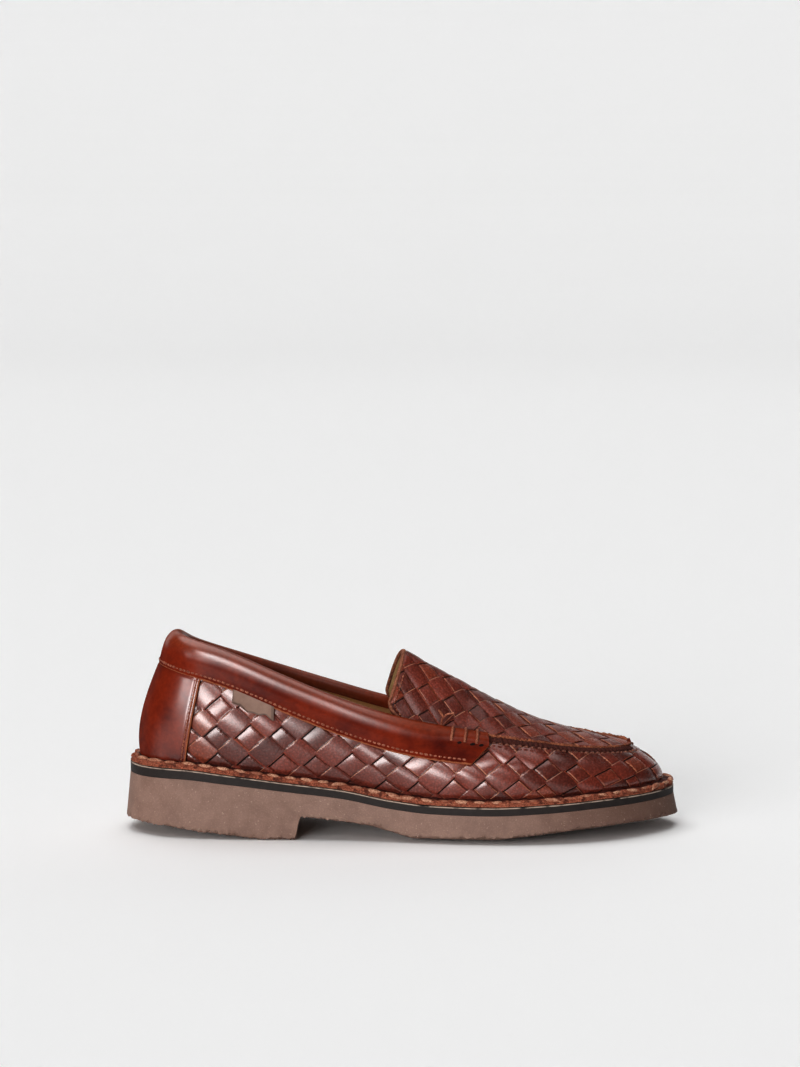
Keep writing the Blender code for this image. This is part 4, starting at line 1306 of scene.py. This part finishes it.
def cut_leather(name, dark, light):
    f = Finish(name)
    fibre = f.cloud(0.6, 4.0, 0.65)
    colour = f.mix(fibre.ramp(0.3, 0.7), dark, light)
    colour = f.mix(f.cloud(4.0, 3.0).ramp(0.46, 0.66) * 0.7, colour, (0.085, 0.018, 0.010))
    return f.set(base_color=colour, roughness=0.8, normal=f.bump(fibre, 0.35, 0.8))


up_axis = np.array([0.0, 0.0, 1.0])
rim_out = outward(last.top)
toe_station = float(last.station[top_toe])
UNDER_COLLAR_END = 1.5


def ridge_station(along):
    return collar_outer - UNDER_COLLAR_END + (collar_inner - collar_outer + 2 * UNDER_COLLAR_END) * along


def ridge_path(along):
    """Along the rim round the toe, lifted on the far side, where the photograph shows the seam's lip."""
    station = ridge_station(along)
    out = last.read(rim_out, station)
    points = last.read(last.top, station) + out * 0.9 + up_axis * 0.5
    far_side = eased((station - toe_station) / 12.0) * eased((collar_inner - station) / 30.0)
    points[:, 2] += 1.5 * far_side
    return points, out, np.broadcast_to(up_axis, points.shape)


LIP_SECTION = [
    (-1.6, 0.2), (-0.9, 0.75), (0.2, 0.8), (0.9, 0.35), (0.95, -0.25), (0.2, -0.7), (-1.4, -0.6),
]
GATHERED_SECTION = [
    (-0.4, -0.2), (0.7, -0.4), (1.25, -1.2), (1.4, -2.6), (1.25, -3.9), (0.5, -4.6), (-0.6, -3.4),
    (-0.6, -1.0),
]
TONGUE_EDGE_SECTION = [(-0.6, 1.35), (0.1, 1.4), (0.55, 0.9), (0.6, -0.6), (0.1, -1.3), (-0.7, -1.3)]
GATHERS = 74


def wall_top_path(along):
    """Along the wall's top edge, with directions out of the wall and up along it."""
    station = ridge_station(along)
    top = last.wall_height(station)
    points = last.skin(station, top)
    upward = points - last.skin(station, top - 3.0)
    return points, last.normal(station, top - 2.0), unit(upward)


edge_strip(
    "ridge_lip", 900, LIP_SECTION, ridge_path,
    cut_leather("ridge_fibre", (0.15, 0.036, 0.018), (0.47, 0.19, 0.10)), 0.5,
)
edge_strip(
    "gathered_edge", 900, GATHERED_SECTION, wall_top_path,
    cut_leather("gathered_fibre", (0.030, 0.008, 0.006), (0.130, 0.036, 0.026)), 0.55, gathers=GATHERS,
)


TONGUE_EDGE_REACH, TONGUE_EDGE_DEPTH = 0.985, 0.9


def tongue_path(along):
    """Along the tongue's free edge, from the outer to the inner corner."""
    across = -TONGUE_EDGE_REACH + 2 * TONGUE_EDGE_REACH * along
    x = tongue_back(across)
    upward = apron_normal(x, across)
    points = apron_surface(x, across) - upward * TONGUE_EDGE_DEPTH
    ahead, behind = np.clip(across + 0.01, -1, 1), np.clip(across - 0.01, -1, 1)
    run = apron_surface(tongue_back(ahead), ahead) - apron_surface(tongue_back(behind), behind)
    return points, unit(np.cross(run, upward)), upward


edge_strip(
    "tongue_edge", 200, TONGUE_EDGE_SECTION, tongue_path,
    cut_leather("tongue_fibre", (0.17, 0.055, 0.030), (0.42, 0.19, 0.115)), 0.16,
)

# %% Suede under the tongue
def suede():
    f = Finish("tongue_suede")
    nap = f.cloud(0.55, 4.0, 0.65)
    colour = f.mix(f.cloud(6.0, 4.0), (0.24, 0.148, 0.066), (0.46, 0.30, 0.14))
    colour = f.shade(colour, nap.ramp(0.3, 0.7, 0.8, 1.2))
    f.fix({"Sheen Weight": 0.25})
    return f.set(base_color=colour, roughness=0.92, normal=f.bump(nap, 0.25, 0.7))


SUEDE_REACH, SUEDE_FRONT_X, SUEDE_DEPTH, SUEDE_THICKNESS = 0.97, 259.0, 2.35, 0.4


def suede_place(along, up):
    across = -SUEDE_REACH + 2 * SUEDE_REACH * up
    back = tongue_back(across) + 0.5
    x = back + (SUEDE_FRONT_X - back) * along
    points = apron_surface(x, across) - apron_normal(x, across) * SUEDE_DEPTH
    return points, np.column_stack([x, across])


tongue_suede = carried_sheet("tongue_suede", 90, 60, suede_place)
in_edit_mode(tongue_suede, lambda: bpy.ops.mesh.flip_normals())
thicken(tongue_suede, SUEDE_THICKNESS, 1.0)
finish_piece(tongue_suede, suede(), 60.0)

# %% [markdown]
# ## Stitches
# Thread lies on the leather in short dashes whose ends sink into holes. One dash is modelled from a small
# sphere and copied along each seam. The welt is sewn with thick waxed thread, the collar and the counter
# with fine thread.

# %% Stitch helpers
DASH_DIP = 0.55


def stitch_dash(length, width, height):
    """One dash of thread, as long as a stitch in mm, with its ends dipping."""
    bpy.ops.object.select_all(action="DESELECT")
    bpy.ops.mesh.primitive_uv_sphere_add(segments=8, ring_count=8, radius=0.5, calc_uvs=False)
    dash = bpy.context.object
    in_edit_mode(
        dash,
        lambda: bpy.ops.transform.rotate(value=math.pi / 2, orient_axis="Y", center_override=(0, 0, 0)),
        lambda: bpy.ops.transform.resize(value=(length, width, height)),
    )
    shape = vertex_places(dash)
    shape[:, 2] -= DASH_DIP * height * (2 * shape[:, 0] / length) ** 4
    dash.data.vertices.foreach_set("co", shape.ravel())
    return dash


def copies_along(name, dash, centres, along, upward, material, wobble):
    """Copies a dash to each centre, turned along the seam, and joins the copies into one piece."""
    along = unit(along)
    side = unit(np.cross(upward, along))
    upward = np.cross(along, side)
    chance = np.array([noise.noise(Vector((i * 1.7, 3.1, 0.4))) for i in range(len(centres))])
    turn, size = chance * wobble, 1 + np.roll(chance, 3) * wobble
    copies = []
    for i, centre in enumerate((centres - MIDDLE) * MM):
        forward = along[i] * math.cos(turn[i]) + side[i] * math.sin(turn[i])
        sideways = side[i] * math.cos(turn[i]) - along[i] * math.sin(turn[i])
        axes = Matrix((forward, sideways, upward[i])).transposed() * (size[i] * MM)
        copies.append(dash.copy())
        copies[i].data = dash.data.copy()
        copies[i].data.transform(Matrix.Translation(centre) @ axes.to_4x4())
        scene.collection.objects.link(copies[i])
    bpy.data.objects.remove(dash)
    bpy.ops.object.select_all(action="DESELECT")
    for copy in copies:
        copy.select_set(True)
    piece = bpy.context.view_layer.objects.active = copies[0]
    bpy.ops.object.join()
    piece.name = piece.data.name = name
    return finish_piece(piece, material, 60.0)


def thread(name, dark, light, roughness, stained=0.45):
    f = Finish(name)
    ply = f.cloud(0.8, 3.0)
    colour = f.mix(ply.ramp(0.3, 0.7), dark, light)
    colour = f.mix(f.cloud(12.0, 2.0).ramp(0.42, 0.62) * stained, colour, dark)
    return f.set(base_color=colour, roughness=roughness, normal=f.bump(f.cloud(0.5, 2.0), 0.25, 0.7))


welt_thread = thread("welt_thread", (0.27, 0.092, 0.052), (0.62, 0.38, 0.26), 0.5, 0.85)
fine_thread = thread("fine_thread", (0.15, 0.034, 0.018), (0.52, 0.22, 0.135), 0.45)
print("threads:", welt_thread.name, fine_thread.name)

# %% Welt stitches
WELT_SEAM_OUT, WELT_SEAM_UP, WELT_SINK = 3.9, 3.2, 0.45
welt_station = (np.arange(welt_count) + 0.5) * last.round / welt_count
welt_centre = last.read(last.foot, welt_station) + last.read(last.out, welt_station) * WELT_SEAM_OUT
sunk = WELT_SINK * eased((welt_centre[:, 0] - 110) / 40)
welt_centre[:, 2] = sole_top(welt_centre[:, 0]) + WELT_SEAM_UP - sunk
copies_along(
    "welt_stitches", stitch_dash(9.4, 2.5, 2.1), welt_centre,
    last.read(last.foot, welt_station + 1.0) - last.read(last.foot, welt_station - 1.0),
    np.broadcast_to(up_axis, welt_centre.shape), welt_thread, 0.5,
)

# %% Collar and counter stitches
def seam_stitches(name, station, rise, out, size, material):
    """Dashes along a seam on the wall, given by station, rise and distance out of the skin."""
    centres = last.offset(station, rise, np.full(station.shape, out))
    copies_along(
        name, stitch_dash(*size), centres, np.gradient(centres, axis=0), last.normal(station, rise),
        material, 0.35,
    )


COLLAR_STITCH_PITCH, COLLAR_SEAM_UP, COLLAR_SEAM_OUT = 2.5, 2.0, 2.62
COUNTER_STITCHES, COUNTER_SEAM_IN, COUNTER_SEAM_OUT = 23, 2.1, 1.15
cut_back = COLLAR_END_CUT + 1.5
collar_station = np.arange(collar_inner - last.round + cut_back, collar_outer - cut_back, COLLAR_STITCH_PITCH)
seam_stitches(
    "collar_stitches", collar_station, last.wall_height(collar_station) - COLLAR_DEPTH + COLLAR_SEAM_UP,
    COLLAR_SEAM_OUT, (2.6, 1.2, 1.0), fine_thread,
)
for side, name in ((0, "outer"), (1, "inner")):
    share = np.linspace(0.03, 0.97, COUNTER_STITCHES)
    front = np.array([counter_front(k)[side] for k in share])
    top = last.wall_height(front) - COLLAR_DEPTH
    front = front + (COUNTER_SEAM_IN if side else -COUNTER_SEAM_IN)
    seam_stitches(
        name + "_counter_stitches", front, COUNTER_FOOT_RISE + (top - COUNTER_FOOT_RISE) * share,
        OVERLAY_CLEAR + COUNTER_SEAM_OUT, (2.0, 1.0, 0.8), fine_thread,
    )

# %% Stitches of the raised seam
RIDGE_STITCH_PITCH, RIDGE_SEAM_DROP, RIDGE_SEAM_OUT = 3.6, 4.4, 1.9
FROM_COLLAR, FROM_TOE = 3.0, 12.0
seam_station = np.arange(collar_outer + FROM_COLLAR, collar_inner - FROM_COLLAR, RIDGE_STITCH_PITCH)
seam_station = seam_station[np.abs(seam_station - toe_station) > FROM_TOE]
seam_stitches(
    "ridge_stitches", seam_station, last.wall_height(seam_station) - RIDGE_SEAM_DROP, RIDGE_SEAM_OUT,
    (2.6, 1.2, 1.0),
    thread("ridge_thread", (0.080, 0.018, 0.012), (0.34, 0.15, 0.10), 0.4),
)

# %% Stitches at the corners of the tongue
TONGUE_STITCHES, TONGUE_SEAM_IN, TONGUE_SEAM_OUT = 11, 2.2, 0.75
for sign, name in ((-1, "outer"), (1, "inner")):
    across = sign * np.linspace(0.55, 0.95, TONGUE_STITCHES)
    x = tongue_back(across) + TONGUE_SEAM_IN
    centres = apron_surface(x, across) + apron_normal(x, across) * TONGUE_SEAM_OUT
    copies_along(
        name + "_tongue_stitches", stitch_dash(1.9, 0.8, 0.8), centres, np.gradient(centres, axis=0),
        apron_normal(x, across), fine_thread, 0.3,
    )

# %% [markdown]
# ## Thread at the ends of the collar
# At each front end of the collar three turns of thread hold the roll together and dive into holes below it.
# On the outer side a loose end of thread was left standing. A turn of thread is a small round section carried
# over the roll.

# %% Thread turns
TURN_RADIUS, LOOSE_RADIUS = 0.78, 0.5
TURNS_X, HOLES_X = (168.8, 175.4, 181.2), (166.2, 172.0, 178.4, 182.6)
SIDES = ((False, "outer"), (True, "inner"))


def round_section(radius):
    return [(radius * math.cos(k * math.pi / 4), radius * math.sin(k * math.pi / 4)) for k in range(8)]


OVER_THE_ROLL = np.array([
    (2.6, -6.0), (3.3, -5.2), (3.9, -4.2), (4.0, -3.2), (3.85, -2.0), (3.3, -0.6), (2.2, 1.0), (0.8, 2.2),
    (-1.2, 2.75), (-3.4, 2.0), (-4.7, 0.0), (-4.9, -2.0),
])


def thread_path(points):
    """A path along points, with two directions square to it."""
    run = np.linspace(0, 1, len(points))

    def path(along):
        places = np.stack([np.interp(along, run, part) for part in points.T], axis=-1)
        step = 0.02
        ahead, behind = np.clip(along + step, 0, 1), np.clip(along - step, 0, 1)
        tangent = np.stack([np.interp(ahead, run, p) - np.interp(behind, run, p) for p in points.T], axis=-1)
        tangent = unit(tangent)
        side = unit(np.cross(tangent, np.array([0.3, 1.0, 0.2])))
        return places, side, np.cross(side, tangent)

    return path


def smooth_path(points, count=40):
    """More points on a smooth open curve through a few points."""
    points = np.array(points, float)
    knots = np.linspace(0, 1, len(points))
    at = np.linspace(0, 1, count)
    curve = np.stack([np.interp(at, knots, part) for part in points.T], axis=-1)
    for _ in range(3):
        curve[1:-1] = (curve[:-2] + 2 * curve[1:-1] + curve[2:]) / 4
    return curve


wrap_thread = thread("wrap_thread", (0.17, 0.042, 0.022), (0.50, 0.22, 0.13), 0.5)
for inner, side in SIDES:
    for number, x in enumerate(TURNS_X):
        middle = last.station_at(last.top, x, inner)
        station = middle + np.linspace(-0.9, 0.9, len(OVER_THE_ROLL)) * (-1 if inner else 1)
        rise = last.wall_height(station) + OVER_THE_ROLL[:, 1]
        turn = smooth_path(last.offset(station, rise, OVER_THE_ROLL[:, 0]))
        name = f"{side}_thread_turn_{number + 1}"
        section = round_section(TURN_RADIUS)
        edge_strip(name, 48, section, thread_path(turn), wrap_thread, 0.05)

# %% Loose thread and holes
LONG_END = [(163.0, -31.5, 58.0), (163.4, -32.6, 62.0), (166.0, -33.0, 64.6), (169.6, -33.2, 65.0)]
SHORT_END = [(164.2, -32.6, 62.6), (163.0, -33.4, 65.2), (161.6, -33.8, 66.8)]
for name, columns, route in (("loose_thread", 40, LONG_END), ("loose_thread_end", 24, SHORT_END)):
    path = thread_path(smooth_path(route))
    edge_strip(name, columns, round_section(LOOSE_RADIUS), path, wrap_thread, 0.04)


def hole_shadow():
    f = Finish("hole_shadow")
    colour = f.mix(f.cloud(1.0), (0.006, 0.002, 0.0015), (0.022, 0.006, 0.004))
    return f.set(base_color=colour, roughness=0.9, normal=f.bump(f.cloud(0.6), 0.2))


# The holes are near-black dashes laid on the roll: painted shadow that stands for the shade inside each hole.
HOLE_DROP, HOLE_OUT = 6.6, 2.55
holes = hole_shadow()
for inner, side in SIDES:
    station = np.array([last.station_at(last.top, x, inner) for x in HOLES_X])
    rise, out = last.wall_height(station) - HOLE_DROP, np.full(len(HOLES_X), HOLE_OUT)
    centres = last.offset(station, rise, out)
    along = last.offset(station + 1.0, rise + 0.25, out) - centres
    copies_along(
        side + "_thread_hole_shadows", stitch_dash(3.6, 1.7, 1.0), centres, along, last.normal(station, rise),
        holes, 0.2,
    )
